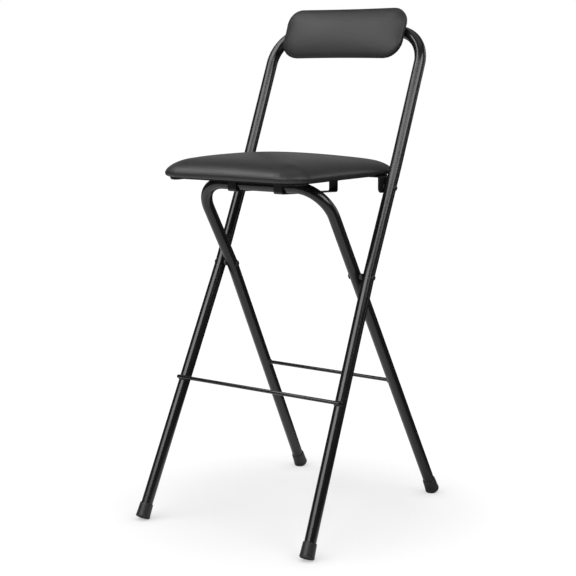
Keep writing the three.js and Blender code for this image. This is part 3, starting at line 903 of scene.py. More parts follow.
@dataclass(frozen=True)
class Layout:
    """The stool's centre lines and the sizes that its pieces share.

    bend and cross_run lead backwards and upwards from the crossing, to the main hoop's bend and the rear
    hoop's cross run, and back_top leads from the bend to the main hoop's top run. kink is the radius of the
    hoops' slight bends.
    """

    tube_radius: float = 12.5 * MM
    tube_wall: float = 1.4 * MM
    touch_gap: float = 0.3 * MM
    crossing_height: float = 538 * MM
    main_foot_reach: float = 250 * MM
    rear_foot_reach: float = 294.5 * MM
    main_half_width: float = 197 * MM
    main_foot_half_width: float = 218.5 * MM
    crossing_gap: float = 7.5 * MM
    foot_nesting: float = 31.5 * MM
    bend: tuple[float, float] = (103.5 * MM, 228.5 * MM)
    back_top: tuple[float, float] = (118 * MM, 279.5 * MM)
    cross_run: tuple[float, float] = (-116.5 * MM, 190 * MM)
    main_corner: float = 74 * MM
    rear_corner: float = 70 * MM
    kink: float = 160 * MM
    seat_pivot_share: float = 0.792
    cap_foot_radius: float = 15.9 * MM
    cap_wear: float = 1.2 * MM
    cap_floor: float = 6 * MM
    washer: float = 1.6 * MM
    inner_washer: float = 1 * MM
    steel: float = 2.6 * MM
    rod_radius: float = 4 * MM
    rod_height: float = 290 * MM

    @property
    def rear_half_width(self) -> float:
        """The rear hoop's half width above the crossing: nested inside the main one."""
        return self.main_half_width - 2 * self.tube_radius - self.crossing_gap

    def _leg(self, middle: float, half_width: float, foot_half_width: float, reach: float) -> Leg:
        """A leg whose cap's rim meets the floor: its foot rises with the slope until it settles.

        Args:
            middle: Y of the crossing.
            half_width: X of the crossing.
            foot_half_width: X of the foot.
            reach: how far behind the crossing the foot stands.

        Returns:
            The leg.
        """
        top = np.array([half_width, middle, self.crossing_height])
        foot = np.array([foot_half_width, middle + reach, 0.0])
        for _ in range(SETTLING_ROUNDS):
            slope = unit(top - foot)
            foot[2] = self.cap_foot_radius * math.hypot(slope[0], slope[1]) - self.cap_wear
        return Leg(foot, top)

    def _legs(self, middle: float) -> tuple[Leg, Leg]:
        """The main and the rear leg.

        Args:
            middle: Y of the crossing.

        Returns:
            The two legs on the right side.
        """
        rear_foot = self.main_foot_half_width - self.foot_nesting
        main = self._leg(middle, self.main_half_width, self.main_foot_half_width, -self.main_foot_reach)
        return main, self._leg(middle, self.rear_half_width, rear_foot, self.rear_foot_reach)

    @property
    def legs(self) -> tuple[Leg, Leg]:
        """The main and the rear leg, placed so that the origin is midway between the caps' outer edges.

        Returns:
            The two legs on the right side.
        """
        main, rear = self._legs(0.0)
        reach = [self.cap_foot_radius * math.hypot(leg.upwards[0], leg.upwards[2]) for leg in (main, rear)]
        front, back = main.foot[1] - reach[0], rear.foot[1] + reach[1]
        return self._legs(-(front + back) / 2)

    @property
    def crossing(self) -> Array:
        """The middle point between the two crossing rivets."""
        return centred(self.legs[0].top)

    @property
    def bend_point(self) -> Array:
        """Where the main hoop bends above the seat."""
        return beyond(self.crossing, self.bend)

    @property
    def back_point(self) -> Array:
        """The middle of the main hoop's top run."""
        return beyond(self.bend_point, self.back_top)

    @property
    def run_point(self) -> Array:
        """The middle of the rear hoop's cross run."""
        return beyond(self.crossing, self.cross_run)

    @property
    def seat_pivot(self) -> Array:
        """The middle point between the two rivets that the seat turns on."""
        return self.crossing + (self.bend_point - self.crossing) * self.seat_pivot_share

    @property
    def back_lean(self) -> float:
        """How far the uprights lean back above the bend."""
        return math.atan2(*self.back_top)

    def tube_end(self, leg: Leg) -> Array:
        """Where a leg's tube ends, inside its cap."""
        return leg.foot + leg.upwards * (self.cap_floor + self.touch_gap)


@dataclass(frozen=True)
class Fitting:
    """A piece that both sides of the stool have, made for the right side and mirrored for the left.

    The side's word is added to name and node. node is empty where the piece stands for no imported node, and
    shells holds the rings of each shell.
    """

    name: str
    node: str
    shells: list[Array]
    finish: Finish
    body: Body
    ends: Ends = Ends.CAPPED

    def build(self, side: Side) -> None:
        """Builds the piece on one side.

        Args:
            side: the side.
        """
        stands_for = (f"{self.node}_{side.word}",) if self.node else ()
        piece = Piece(f"{self.name}_{side.word}", self.finish, self.body, stands_for)
        for rings in self.shells:
            piece.shell(mirrored(rings, side), self.ends)
        piece.build()


def build_both(*fittings: Fitting) -> None:
    """Builds every fitting on one side of the stool and then on the other.

    Args:
        fittings: the fittings.
    """
    for side in Side:
        for fitting in fittings:
            fitting.build(side)


# Tubes, rods, welds and caps


@dataclass(frozen=True)
class Hoop:
    """A hoop of bent tube from one foot over its top to the other.

    half holds the path's points on the right side from the foot upwards, and radii the bend at each of them
    but the foot.
    """

    half: tuple[Array, ...]
    radii: tuple[float, ...]
    radius: float
    wall: float
    sides: int = 56

    def rings(self) -> Array:
        """The outer wall from end to end and the inner wall back again.

        Returns:
            The rings, which make a loop.
        """
        points = np.stack([*self.half, *(mirrored(point, Side.LEFT) for point in reversed(self.half))])
        places, tangents = rounded_path(points, [*self.radii, *reversed(self.radii)])
        outer = swept(places, tangents, BACKWARD, self.radius * circle(self.sides))
        inner = swept(places, tangents, BACKWARD, (self.radius - self.wall) * circle(self.sides))
        return np.concatenate([outer, inner[::-1]])


@dataclass(frozen=True)
class Rod:
    """A footrest rod along X with eased ends."""

    radius: float
    sides: int = 32
    ease: float = 0.9 * MM

    def rings(self, middle: Array, half_length: float) -> Array:
        """A turned bar whose radius draws in by a quarter circle over the last ease of its length.

        Args:
            middle: the middle of the rod.
            half_length: half its length.

        Returns:
            The rings, from end to end.
        """
        steps = np.linspace(math.pi / 2, 0.0, 5)
        radii = self.radius - self.ease * (1 - np.sin(steps))
        heights = half_length - self.ease * (1 - np.cos(steps))
        end = np.stack([radii, heights], axis=-1)
        start = end[::-1] * np.array([1.0, -1.0])
        return turned(np.concatenate([start, end]), self.sides, middle, RIGHTWARD)


@dataclass(frozen=True)
class WeldBead:
    """A rippled bead of weld laid along a path.

    arc is how far a bead runs to each side of a leg's front, in radians, and clearance is how far the middle
    of the bead lies off the tube's wall.
    """

    radius: float = 2.1 * MM
    ripple: float = 0.11
    ripples: float = 7.0
    sides: int = 14
    arc: float = 0.85
    clearance: float = 0.4 * MM
    rod_clearance: float = 0.7 * MM
    sinking: float = 0.3 * MM

    def rings(self, places: Array, tangents: Array, reference: Array, looped: bool) -> Array:
        """A round section whose radius ripples along the path, and tapers to its ends where it has any.

        Args:
            places: the path's stations.
            tangents: their unit tangents.
            reference: a direction that no tangent lies along.
            looped: whether the path closes.

        Returns:
            The rings along the path.
        """
        share = np.linspace(0.0, 1.0, len(places), endpoint=not looped)
        wave = 1 + self.ripple * np.sin(2 * math.pi * self.ripples * share)
        taper = np.ones_like(share) if looped else np.sqrt(np.clip(1 - (2 * share - 1) ** 4, 0.02, 1))
        sections = (self.radius * wave * taper)[:, None, None] * circle(self.sides)
        return swept(places, tangents, reference, sections)

    def groove(self, layout: Layout, leg: Leg, middle: Array, lift: float) -> Array:
        """A bead round the front of a leg beside a rod that crosses it: an arc at the tube's radius.

        Args:
            layout: the stool's lines.
            leg: the leg.
            middle: the point of its centre line behind the rod.
            lift: how far above that point the bead lies, along the leg.

        Returns:
            The bead's rings on the right side.
        """
        upwards, forward = leg.upwards, leg.forwards
        lateral = np.cross(upwards, forward)
        angles = np.linspace(-self.arc, self.arc, 29)[:, None]
        arm = np.cos(angles) * forward + np.sin(angles) * lateral
        places = middle + upwards * lift + arm * (layout.tube_radius + self.clearance)
        tangents = -np.sin(angles) * forward + np.cos(angles) * lateral
        return self.rings(places, tangents, upwards, False)

    def collar(self, layout: Layout, leg: Leg, middle: Array) -> Array:
        """A bead round the end of a rod that butts against a leg: a circle pressed onto the tube's wall.

        Args:
            layout: the stool's lines.
            leg: the leg.
            middle: the point of its centre line that the rod points at.

        Returns:
            The bead's rings on the right side.
        """
        ring = circle(ROUND_SIDES) * (layout.rod_radius + self.rod_clearance)
        sideways = math.hypot(leg.upwards[1], leg.upwards[2])
        along = leg.upwards[1:] / sideways
        across = ring @ np.array([-along[1], along[0]])
        wall = np.sqrt(layout.tube_radius**2 - across**2) / sideways
        inwards = middle[0] - wall - self.sinking
        places = np.stack([inwards, middle[1] + ring[:, 0], middle[2] + ring[:, 1]], axis=-1)
        tangents = unit(np.roll(places, -1, axis=0) - np.roll(places, 1, axis=0))
        return self.rings(places, tangents, RIGHTWARD, True)


@dataclass(frozen=True)
class FootCap:
    """A rubber cap on a leg: flared to its foot, with a band round it and a worn flat on the floor."""

    foot_radius: float
    floor: float
    top_radius: float = 14.4 * MM
    length: float = 31 * MM
    band: float = 3.6 * MM
    bore: float = 12.62 * MM
    sole: float = 3.2 * MM
    sole_share: float = 0.9
    sides: int = 72

    def rings(self, leg: Leg) -> Array:
        """A turned profile over the domed sole, up the outside, over the mouth and down the bore.

        A row of outside is a radius, what is added to it, a height and what is added to that, where what is
        added is in millimetres. What would go below the floor is pressed flat on it.

        Args:
            leg: the leg that the cap is on.

        Returns:
            The rings on the right side, from the sole's pole to the bore's.
        """
        foot, top, rim, band = self.foot_radius, self.top_radius, self.length, self.band
        shares = np.linspace(0.0, self.sole_share, 10)
        dome = np.stack([foot * shares, -self.sole * np.sqrt(1 - shares**2)], axis=-1)
        outside = [
            (foot, -1.2, 0, -0.15), (foot, -0.8, 0, 0.1), (foot, -0.4, 0, 0.4), (foot, -0.12, 0, 0.9),
            (foot, 0, 0, 1.5), (foot, 0, band, -0.25), (foot, -0.12, band, 0), (foot, -0.75, band, 0.2),
            (foot, -0.85, band, 0.7), (foot, -0.45, band, 1.1), (foot, -0.5, band, 1.6),
            (top, 0.35, rim, -8), (top, 0, rim, -1.5), (top, -0.12, rim, -0.8), (top, -0.5, rim, -0.22),
            (top, -0.95, rim, 0), (self.bore, 0.2, rim, 0), (self.bore, 0, rim, -0.3),
            (self.bore, 0, self.floor, 0), (0, 0, self.floor, 0),
        ]
        wall = [[radius + out * MM, height + up * MM] for radius, out, height, up in outside]
        rings = turned(np.concatenate([dome, wall]), self.sides, leg.foot, leg.upwards)
        rings[..., 2] = np.maximum(rings[..., 2], 0.0)
        return rings


def fit_caps(layout: Layout, leg: Leg, end: str, body: Body) -> None:
    """Puts the two rubber caps on a hoop's feet.

    Args:
        layout: the stool's lines.
        leg: the hoop's right leg.
        end: the word for the hoop's end of the stool.
        body: the body that the hoop belongs to.
    """
    cap = FootCap(layout.cap_foot_radius, layout.cap_floor)
    build_both(Fitting(f"{end}_cap", f"{end}_foot_cap", [cap.rings(leg)], cap_rubber, body))


# Fasteners


@dataclass(frozen=True)
class Rivet:
    """A rivet along X whose outer head is drawn down onto the round of the tube."""

    shank: float = 3 * MM
    head: float = 5.8 * MM
    rise: float = 2.6 * MM
    sinking: float = 0.1 * MM
    sides: int = 40

    def saddle(self, centre: float, tube: float, way: Array) -> Array:
        """X of the tube's wall at each angle round the head: the tube's own circle, read across the tube."""
        across = self.head * circle(self.sides) @ np.array([-way[1], way[0]])
        return centre + np.sqrt(tube**2 - across**2)

    def dome(self, seat: float, outwards: float) -> list[tuple[float, float]]:
        """The rows of a low domed head from its rim to its pole."""
        shares = [(1.0, 0.24), (0.97, 0.42), (0.86, 0.66), (0.64, 0.87), (0.36, 0.97), (0.0, 1.0)]
        return [(self.head * r, seat + outwards * self.rise * h) for r, h in shares]

    def rings(self, place: Array, inner: float, centre: float, tube: float, way: Array) -> Array:
        """The rivet's rings from the pole of its inner head to that of its outer one.

        Args:
            place: the point of the middle plane that the rivet's axis goes through.
            inner: X of the inner head's seat.
            centre: X of the tube's centre line.
            tube: the tube's radius.
            way: the tube's direction in the (Y, Z) plane.

        Returns:
            The rings.
        """
        outer = centre + tube
        neck = [(self.head, inner), (self.shank, inner), (self.shank, outer - self.head / 2)]
        below = np.array([*reversed(self.dome(inner, -1.0)), *neck])
        above = np.array(self.dome(outer, 1.0))
        even = np.ones((1, self.sides))
        skirt = self.saddle(centre, tube, way)[None] - self.sinking
        radii = np.concatenate([below[:, :1] * even, self.head * even, above[:, :1] * even])
        heights = np.concatenate([below[:, 1:] * even, skirt, above[:, 1:] * even])
        ring = circle(self.sides)
        return np.stack([heights, place[1] + radii * ring[:, 0], place[2] + radii * ring[:, 1]], axis=-1)


def washer_rings(place: Array, inner: float, outer: float, bore: float, radius: float) -> Array:
    """A flat ring along X with eased rims.

    Args:
        place: a point of its axis.
        inner: the lower X of its faces.
        outer: the higher one.
        bore: the radius of its hole.
        radius: its outer radius.

    Returns:
        A loop of rings round its section.
    """
    ease = min(0.25 * MM, (outer - inner) / 4)
    profile = np.array([
        [bore, inner], [radius - ease, inner], [radius, inner + ease],
        [radius, outer - ease], [radius - ease, outer], [bore, outer],
    ])
    return turned(profile, ROUND_SIDES, centred(place), RIGHTWARD)


@dataclass(frozen=True)
class Screw:
    """A pan head screw with a cross recess, whose arms have sloping walls and ends."""

    shank: float = 2.1 * MM
    head: float = 4.4 * MM
    rise: float = 2.2 * MM
    recess: float = 1.25 * MM
    arm_half_width: float = 0.55 * MM
    arm_wall: float = 0.2 * MM
    arm_length: float = 2.5 * MM
    arm_end: float = 0.9 * MM
    sides: int = ROUND_SIDES
    sharp_angle: float = 28.0

    def rings(self, seat: Array, way: Array, length: float) -> Array:
        """A turned head and shank, with a cross sunk into the head.

        The dome's height falls as (1 - r ** 3.2) ** 0.6 with r the share of the head's radius. The cross is
        four arms: a point sinks where it lies within half an arm's width of either axis, less and less
        towards the arms' ends.

        Args:
            seat: the middle of the head's underside.
            way: the unit direction that the shank goes in.
            length: the shank's length.

        Returns:
            The rings, from the head's pole to the tip.
        """
        around = circle(self.sides)
        shares = np.concatenate([np.linspace(0.0, 0.7, 15), np.linspace(0.75, 1.0, 8)])
        radii = self.head * np.sin(shares * math.pi / 2)[:, None]
        x, y = radii * around[:, 0], radii * around[:, 1]
        dome = self.rise * np.power(np.clip(1 - (radii / self.head) ** 3.2, 0, 1), 0.6) * np.ones(self.sides)
        arm = np.minimum(np.abs(x), np.abs(y))
        reach = np.maximum(np.abs(x), np.abs(y))
        within = np.clip((self.arm_half_width - arm) / self.arm_wall, 0, 1)
        sink = within * np.clip((self.arm_length - reach) / self.arm_end, 0, 1)
        cap = np.stack([x, y, -(dome - self.recess * sink)], axis=-1)
        rows = np.array([[self.shank, 0.0], [self.shank, length - self.shank], [0.0, length]])
        depths = np.broadcast_to(rows[:, 1:, None], (len(rows), self.sides, 1))
        shaft = np.concatenate([rows[:, :1, None] * around, depths], axis=-1)
        local = np.concatenate([cap, shaft])
        helper = RIGHTWARD if abs(way[0]) < NEARLY_ALONG else UPWARD
        first = unit(np.cross(way, helper))
        second = np.cross(way, first)
        return seat + local[..., :1] * first + local[..., 1:2] * second + local[..., 2:] * way


def fit_screw(node: str, seat: Array, way: Array, length: float, body: Body) -> None:
    """Puts a screw with its cross in the place of a packed one.

    Args:
        node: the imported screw.
        seat: the middle of the head's underside.
        way: the unit direction that the shank goes in.
        length: the shank's length.
        body: the body that it rides on.
    """
    screw = Screw()
    piece = Piece(f"{node}_cross", steel_coat, body, (node,), screw.sharp_angle)
    piece.shell(screw.rings(seat, way, length)).build()


# Padded covers


@dataclass(frozen=True)
class Creases:
    """The creases where a cover is gathered round a corner of a pad.

    spread is how far from the corner's middle they lie, jitter how far each strays from its place, reach
    where they have died out and fade over how much they do, all in radians. least_depth and least_length are
    the least shares of depth and length that a crease gets. The hem's lumps start at lump_inset within the
    widest line and are full after lump_run.
    """

    spread: float = 0.66
    jitter: float = 0.05
    reach: float = 0.95
    fade: float = 0.25
    least_depth: float = 0.45
    least_length: float = 0.35
    per_corner: int = 6
    width: float = 3.4 * MM
    depth: float = 0.7 * MM
    length: float = 17 * MM
    lump: float = 3.0 * MM
    lump_inset: float = 8 * MM
    lump_run: float = 4 * MM
    seed: int = 4


@dataclass(frozen=True)
class Pad:
    """A vinyl cover over foam and a board, made lying down with its crown up.

    The plan is a rectangle with rounded corners whose sides draw in. Heights run from the plane of local
    zero. edge holds rows (inset, height) in millimetres from the widest line under the board's rim and back
    into its pocket, with heights above base, and visible_edge says how many of them show.
    """

    name: str
    half_width: float
    low: float
    high: float
    low_corner: float
    high_corner: float
    draw_in: float
    widest: float
    crown: float
    base: float
    edge: tuple[tuple[float, float], ...]
    visible_edge: int
    swell: float
    fill: float
    creases: Creases
    shoulder: float
    shoulder_part: float
    wedge: float = 2.0
    taper: float = 0.0
    cells: int = 92
    moments: int = 20
    held_rim: float = 0.25
    grip_steps: int = 20

    @property
    def corners(self) -> list[tuple[Array, float, float]]:
        """The plan's corners, from the left one of the low side round.

        Returns:
            Each corner's centre, its radius and the direction of its middle in half turns.
        """
        w, rl, rh = self.half_width, self.low_corner, self.high_corner
        return [
            (np.array([rl - w, self.low + rl]), rl, 1.25), (np.array([w - rl, self.low + rl]), rl, 1.75),
            (np.array([w - rh, self.high - rh]), rh, 0.25), (np.array([rh - w, self.high - rh]), rh, 0.75),
        ]

    def outline(self, turn: Array) -> tuple[Array, Array]:
        """Points and outward directions of the plan's outline.

        Each quarter of the turn is half a corner's arc, a side that sags inwards as half a sine wave, and
        half of the next corner's arc. A quarter is read evenly by its length.

        Args:
            turn: how far round, from 0 to 4, starting in the middle of the left corner of the low side.

        Returns:
            The points and the directions, two numbers each.
        """
        spots, outwards, turns, corners = [], [], [], self.corners
        half = np.linspace(0.0, math.pi / 4, 40)
        share = np.linspace(0.0, 1.0, 120)[1:-1, None]
        for k in range(4):
            start, end = 1.25 * math.pi + k * math.pi / 2 + half, 1.5 * math.pi + k * math.pi / 2 + half
            (centre, radius, _), (next_centre, next_radius, _) = corners[k], corners[(k + 1) % 4]
            arms = [np.stack([np.cos(a), np.sin(a)], axis=-1) for a in (start, end)]
            first, last = centre + radius * arms[0], next_centre + next_radius * arms[1]
            facing = arms[0][-1]
            sag = self.draw_in * np.sin(math.pi * share)
            side = first[-1] * (1 - share) + last[0] * share - facing * sag
            line = np.concatenate([first, side, last])
            run = run_along(line)
            spots.append(line)
            outwards.append(np.concatenate([arms[0], np.broadcast_to(facing, side.shape), arms[1]]))
            turns.append(k + run / run[-1])
        table = np.concatenate([np.concatenate(spots), np.concatenate(outwards)], axis=1)
        read = read_rows(turn, np.concatenate(turns), table)
        return read[..., :2], read[..., 2:]

    def depth(self, spots: Array) -> Array:
        """How far inside the plan each spot lies: the distance to a rectangle with its corners rounded.

        The corners' radius is that of the nearer end, with a smooth change over the middle.

        Args:
            spots: points of the plan.

        Returns:
            Their distances, which are negative outside.
        """
        half = np.array([self.half_width, (self.high - self.low) / 2])
        local = spots - self.centre
        share = np.clip(0.5 + local[..., 1] / half[1], 0, 1)
        radius = self.low_corner + (self.high_corner - self.low_corner) * share * share * (3 - 2 * share)
        over = np.abs(local) - (half - radius[..., None])
        outside = np.linalg.norm(np.maximum(over, 0), axis=-1)
        return radius - outside - np.minimum(over.max(axis=-1), 0)

    @property
    def centre(self) -> Array:
        """The middle of the plan."""
        return np.array([0.0, (self.low + self.high) / 2])

    @property
    def rows(self) -> Array:
        """The rows of edge in metres, from the plane of local zero."""
        return np.array(self.edge) * MM + np.array([0.0, self.base])

    def crown_grid(self, cells: int) -> tuple[Array, Array]:
        """The crown as a square lattice bent to the plan.

        A point's ring is its greater coordinate, and its turn is where it sits on that ring. The crown is a
        shoulder and a low dome. The shoulder is a quarter ellipse read by the distance from the outline,
        which a wedge below 2 straightens. The dome's height is (1 - x * x) * (1 - y * y) over the plan's
        half sizes. The two parts add up to the crown, which thins by the taper towards the high end.

        Args:
            cells: how many cells the lattice has along each side.

        Returns:
            The points as a (cells + 1) x (cells + 1) x 3 array, and the share of each.
        """
        steps = np.linspace(-1.0, 1.0, cells + 1)
        a, b = np.meshgrid(steps, steps, indexing="ij")
        ring = np.maximum(np.abs(a), np.abs(b))
        safe = np.where(ring > 0, ring, 1.0)
        u, v = a / safe, b / safe
        turn = np.select(
            [(v <= -1) & (u < 1), (u >= 1) & (v < 1), (v >= 1) & (u > -1)],
            [(u + 1) / 2, 1 + (v + 1) / 2, 2 + (1 - u) / 2],
            3 + (1 - v) / 2,
        )
        share = 1.25 * ring - 0.25 * ring**5
        spot, _ = self.outline(turn)
        flat = self.centre + share[..., None] * (spot - self.centre)
        depth = self.depth(flat) - self.depth(spot) * share**4
        shoulder = (1 - np.clip(1 - depth / self.shoulder, 0, 1) ** 2) ** (1 / self.wedge)
        part = (flat - self.centre) / np.array([self.half_width, (self.high - self.low) / 2])
        dome = np.prod(np.clip(1 - part**2, 0, 1), axis=-1)
        thin = 1 - self.taper * np.clip((part[..., 1] + 0.5) / 1.5, 0, 1) ** 1.5
        full = self.shoulder_part * shoulder + (1 - self.shoulder_part) * dome
        rise = self.widest + self.crown * thin * full
        return np.concatenate([flat, rise[..., None]], axis=-1), share

    def swelling(self, cells: int) -> Array:
        """How far each point of a crown lattice moves when the cover is blown up against the foam.

        A cloth of the crown takes pressure with no gravity while its rim is held, more and more firmly over
        the last share of the plan that held_rim gives. The shifts are averaged with their neighbours' a few
        times and scaled so that no point moves more than the swell.

        Args:
            cells: how many cells the lattice has along each side.

        Returns:
            The shifts, as a (cells + 1) x (cells + 1) x 3 array.
        """
        grid, share = self.crown_grid(cells)
        made = linked(f"{self.name}_cloth", new_mesh(self.name, grid, lattice(cells)[0].tolist()))
        held = made.vertex_groups.new(name="held")
        grip = (share.reshape(-1) - 1 + self.held_rim) / self.held_rim
        levels = np.round(np.clip(grip, 0, 1) * self.grip_steps) / self.grip_steps
        for level in np.unique(levels):
            held.add(np.flatnonzero(levels == level).tolist(), float(level), "REPLACE")
        settings = made.modifiers.new("inflate", "CLOTH").settings
        settings.quality = 6
        settings.mass = 0.25
        settings.tension_stiffness = settings.compression_stiffness = 22
        settings.bending_stiffness = 1.5
        settings.use_pressure = True
        settings.uniform_pressure_force = 4
        settings.vertex_group_mass = "held"
        settings.effector_weights.gravity = 0
        made.modifiers["inflate"].point_cache.frame_end = self.moments
        for moment in range(1, self.moments + 1):
            bpy.context.scene.frame_set(moment)
        shift = read_points(evaluated(made)).reshape(grid.shape) - grid
        bpy.data.objects.remove(made)
        bpy.context.scene.frame_set(1)
        for _ in range(4):
            inner = shift[1:-1, 1:-1]
            beside = shift[2:, 1:-1] + shift[:-2, 1:-1] + shift[1:-1, 2:] + shift[1:-1, :-2]
            inner[...] = (inner * 4 + beside) / 8
        reach = np.linalg.norm(shift, axis=-1).max()
        log.info("%s swells by up to %.1f mm before it is scaled", self.name, reach / MM)
        return shift * min(1.0, self.swell / reach)

    def blown_up(self) -> bpy.types.Object:
        """The whole pad with its crown swollen, subdivided once.

        Below the crown the rings follow the rows of edge. One flat face then closes the pocket.

        Returns:
            The pad's object.
        """
        n = self.cells
        swell = doubled(doubled(self.swelling(n // 2)).swapaxes(0, 1)).swapaxes(0, 1)
        crown = (self.crown_grid(n)[0] + swell).reshape(-1, 3)
        quads, rim = lattice(n)
        spot, outwards = self.outline(np.arange(4 * n) / n)
        rows = self.rows
        below = spot - rows[:, :1, None] * outwards
        below = np.concatenate([below, np.broadcast_to(rows[:, 1:, None], (*below.shape[:2], 1))], axis=-1)
        rings = np.concatenate([rim[None], len(crown) + np.arange(below.shape[0] * 4 * n).reshape(-1, 4 * n)])
        ahead = np.roll(rings, -1, axis=1)
        walls = np.stack([rings[1:], ahead[1:], ahead[:-1], rings[:-1]], axis=-1).reshape(-1, 4)
        points = np.concatenate([crown, below.reshape(-1, 3)])
        made = linked(self.name, new_mesh(self.name, points, np.concatenate([quads, walls]).tolist()))
        finer = made.modifiers.new("finer", "SUBSURF")
        finer.levels = finer.render_levels = 1
        made.data = bpy.data.meshes.new_from_object(evaluated(made))
        made.modifiers.clear()
        with edited(made.data) as work:
            bmesh.ops.holes_fill(work, edges=[edge for edge in work.edges if edge.is_boundary])
        return made

    def gather(self, made: bpy.types.Object) -> None:
        """Sinks creases into the cover round its corners and lets its hem bunch between them.

        A crease is a Gaussian valley across the corner's angle. It is deepest at the lip and runs out over
        its own length up the crown. Under the board the hem drops in lumps between the creases.

        Args:
            made: the pad's object.
        """
        points, normals = read_points(made), read_points(made, "normal")
        seam = self.creases
        random = np.random.default_rng(seam.seed)
        sink, drop = np.zeros(len(points)), np.zeros(len(points))
        under = np.clip((self.widest - points[:, 2]) / (4 * MM), 0, 1)
        for centre, radius, middle in self.corners:
            arm = points[:, :2] - centre
            away = (np.arctan2(arm[:, 1], arm[:, 0]) - middle * math.pi + math.pi) % (2 * math.pi) - math.pi
            inset = radius - np.hypot(arm[:, 0], arm[:, 1])
            near = np.clip((seam.reach - np.abs(away)) / seam.fade, 0, 1) * (inset < radius * 0.75)
            spread = np.linspace(-seam.spread, seam.spread, seam.per_corner)
            spread = spread + random.uniform(-seam.jitter, seam.jitter, seam.per_corner)
            depths = seam.depth * random.uniform(seam.least_depth, 1.0, seam.per_corner)
            lengths = seam.length * random.uniform(seam.least_length, 1.0, seam.per_corner)
            valley = np.exp(-(((away[:, None] - spread) * radius / seam.width) ** 2))
            fade = np.clip(1 - np.maximum(inset, 0)[:, None] / lengths, 0, 1) ** 1.5
            fade = np.where(under[:, None] > 0, 1.0, fade)
            sink += near * np.sum(depths * valley * fade, axis=1)
            wave = 1 - np.max(valley, axis=1)
            drop += near * wave * seam.lump * np.clip((inset - seam.lump_inset) / seam.lump_run, 0, 1)
        shown = points[:, 2] < self.rows[self.visible_edge - 1, 1] + 1.0 * MM
        points -= normals * sink[:, None]
        points[:, 2] -= np.where(shown & (normals[:, 2] < 0.3), drop, 0.0)
        move_points(made, points)

    def finished(self, made: bpy.types.Object, place: Matrix) -> None:
        """Moves the pad to its place in the stool and smooths its shading.

        Args:
            made: the pad's object.
            place: where its local zero and axes go.
        """
        made.data.transform(place)
        made.data.update()
        shade(made.data, PAD_SHARP_ANGLE)


# Sub-assemblies


@dataclass
class MainFrame:
    """The main hoop with its footrest rod, caps and rivets.

    weld_lift is how far above and below the rod's middle its welds lie, as a share of its radius.
    """

    layout: Layout
    rod_overhang: float = 8 * MM
    spacer_radius: float = 6.6 * MM
    spacer_gap: float = 0.6 * MM
    washer_radius: float = 7.5 * MM
    running_gap: float = 0.25 * MM
    weld_lift: float = 0.9

    def hoop(self) -> None:
        """The bent tube, from the front feet over the backrest."""
        lay = self.layout
        leg = lay.legs[0]
        half = [lay.tube_end(leg), leg.top]
        half += [point + RIGHTWARD * lay.main_half_width for point in (lay.bend_point, lay.back_point)]
        shape = Hoop(tuple(half), (lay.kink, lay.kink, lay.main_corner), lay.tube_radius, lay.tube_wall)
        piece = Piece("main_hoop", tube_coat, Body.MAIN, ("main_frame_tube",))
        piece.shell(shape.rings(), Ends.LOOPED).build()

    def footrest(self) -> None:
        """The rod across the front of the legs and the beads that hold it."""
        lay = self.layout
        leg = lay.legs[0]
        axis = leg.at(lay.rod_height)
        meeting = axis + leg.forwards * (lay.tube_radius + lay.rod_radius + lay.touch_gap)
        piece = Piece("front_footrest", tube_coat, Body.MAIN, ("front_footrest_rod",))
        piece.shell(Rod(lay.rod_radius).rings(centred(meeting), meeting[0] + self.rod_overhang)).build()
        lift = lay.rod_radius * self.weld_lift
        beads = [WeldBead().groove(lay, leg, axis, up) for up in (lift, -lift)]
        build_both(Fitting("front_footrest_weld", "", beads, weld_coat, Body.MAIN))

    def rivets(self) -> None:
        """The crossing rivets with their spacers and washers, and the seat's rivets with theirs."""
        lay = self.layout
        rivet = Rivet()
        bore = rivet.shank + self.running_gap
        inner_face = lay.main_half_width - lay.tube_radius
        washer_outer = lay.rear_half_width - lay.tube_radius - lay.touch_gap
        washer_inner = washer_outer - lay.inner_washer
        ear_outer = inner_face - lay.washer - 2 * lay.touch_gap
        ear_inner = ear_outer - lay.steel
        leg_way = unit((unit(lay.bend_point - lay.crossing) + unit(lay.legs[0].upwards))[1:])
        seat_way = unit((lay.bend_point - lay.crossing)[1:])
        heads = [
            ("pivot_rivet", lay.crossing, washer_inner - lay.touch_gap, leg_way),
            ("seat_pivot_rivet", lay.seat_pivot, ear_inner - lay.touch_gap, seat_way),
        ]
        fittings = []
        for name, place, inner, way in heads:
            rings = rivet.rings(place, inner, lay.main_half_width, lay.tube_radius, way)
            fittings.append(Fitting(f"domed_{name}", name, [rings], steel_coat, Body.MAIN))
        spacer_inner = lay.rear_half_width + lay.tube_radius + self.spacer_gap
        far = inner_face - lay.touch_gap
        rounds = [
            ("pivot_spacer", lay.crossing, spacer_inner, far, self.spacer_radius, black_nylon),
            ("pivot_washer", lay.crossing, washer_inner, washer_outer, self.washer_radius, steel_coat),
            ("seat_pivot_washer", lay.seat_pivot, ear_outer + lay.touch_gap, far, self.washer_radius,
             black_nylon),
        ]
        for name, place, inner, outer, radius, finish in rounds:
            rings = washer_rings(place, inner, outer, bore, radius)
            fittings.append(Fitting(f"round_{name}", name, [rings], finish, Body.MAIN, Ends.LOOPED))
        build_both(*fittings)

    def build(self) -> None:
        """Builds every piece of the main frame."""
        self.hoop()
        self.footrest()
        fit_caps(self.layout, self.layout.legs[0], "front", Body.MAIN)
        self.rivets()


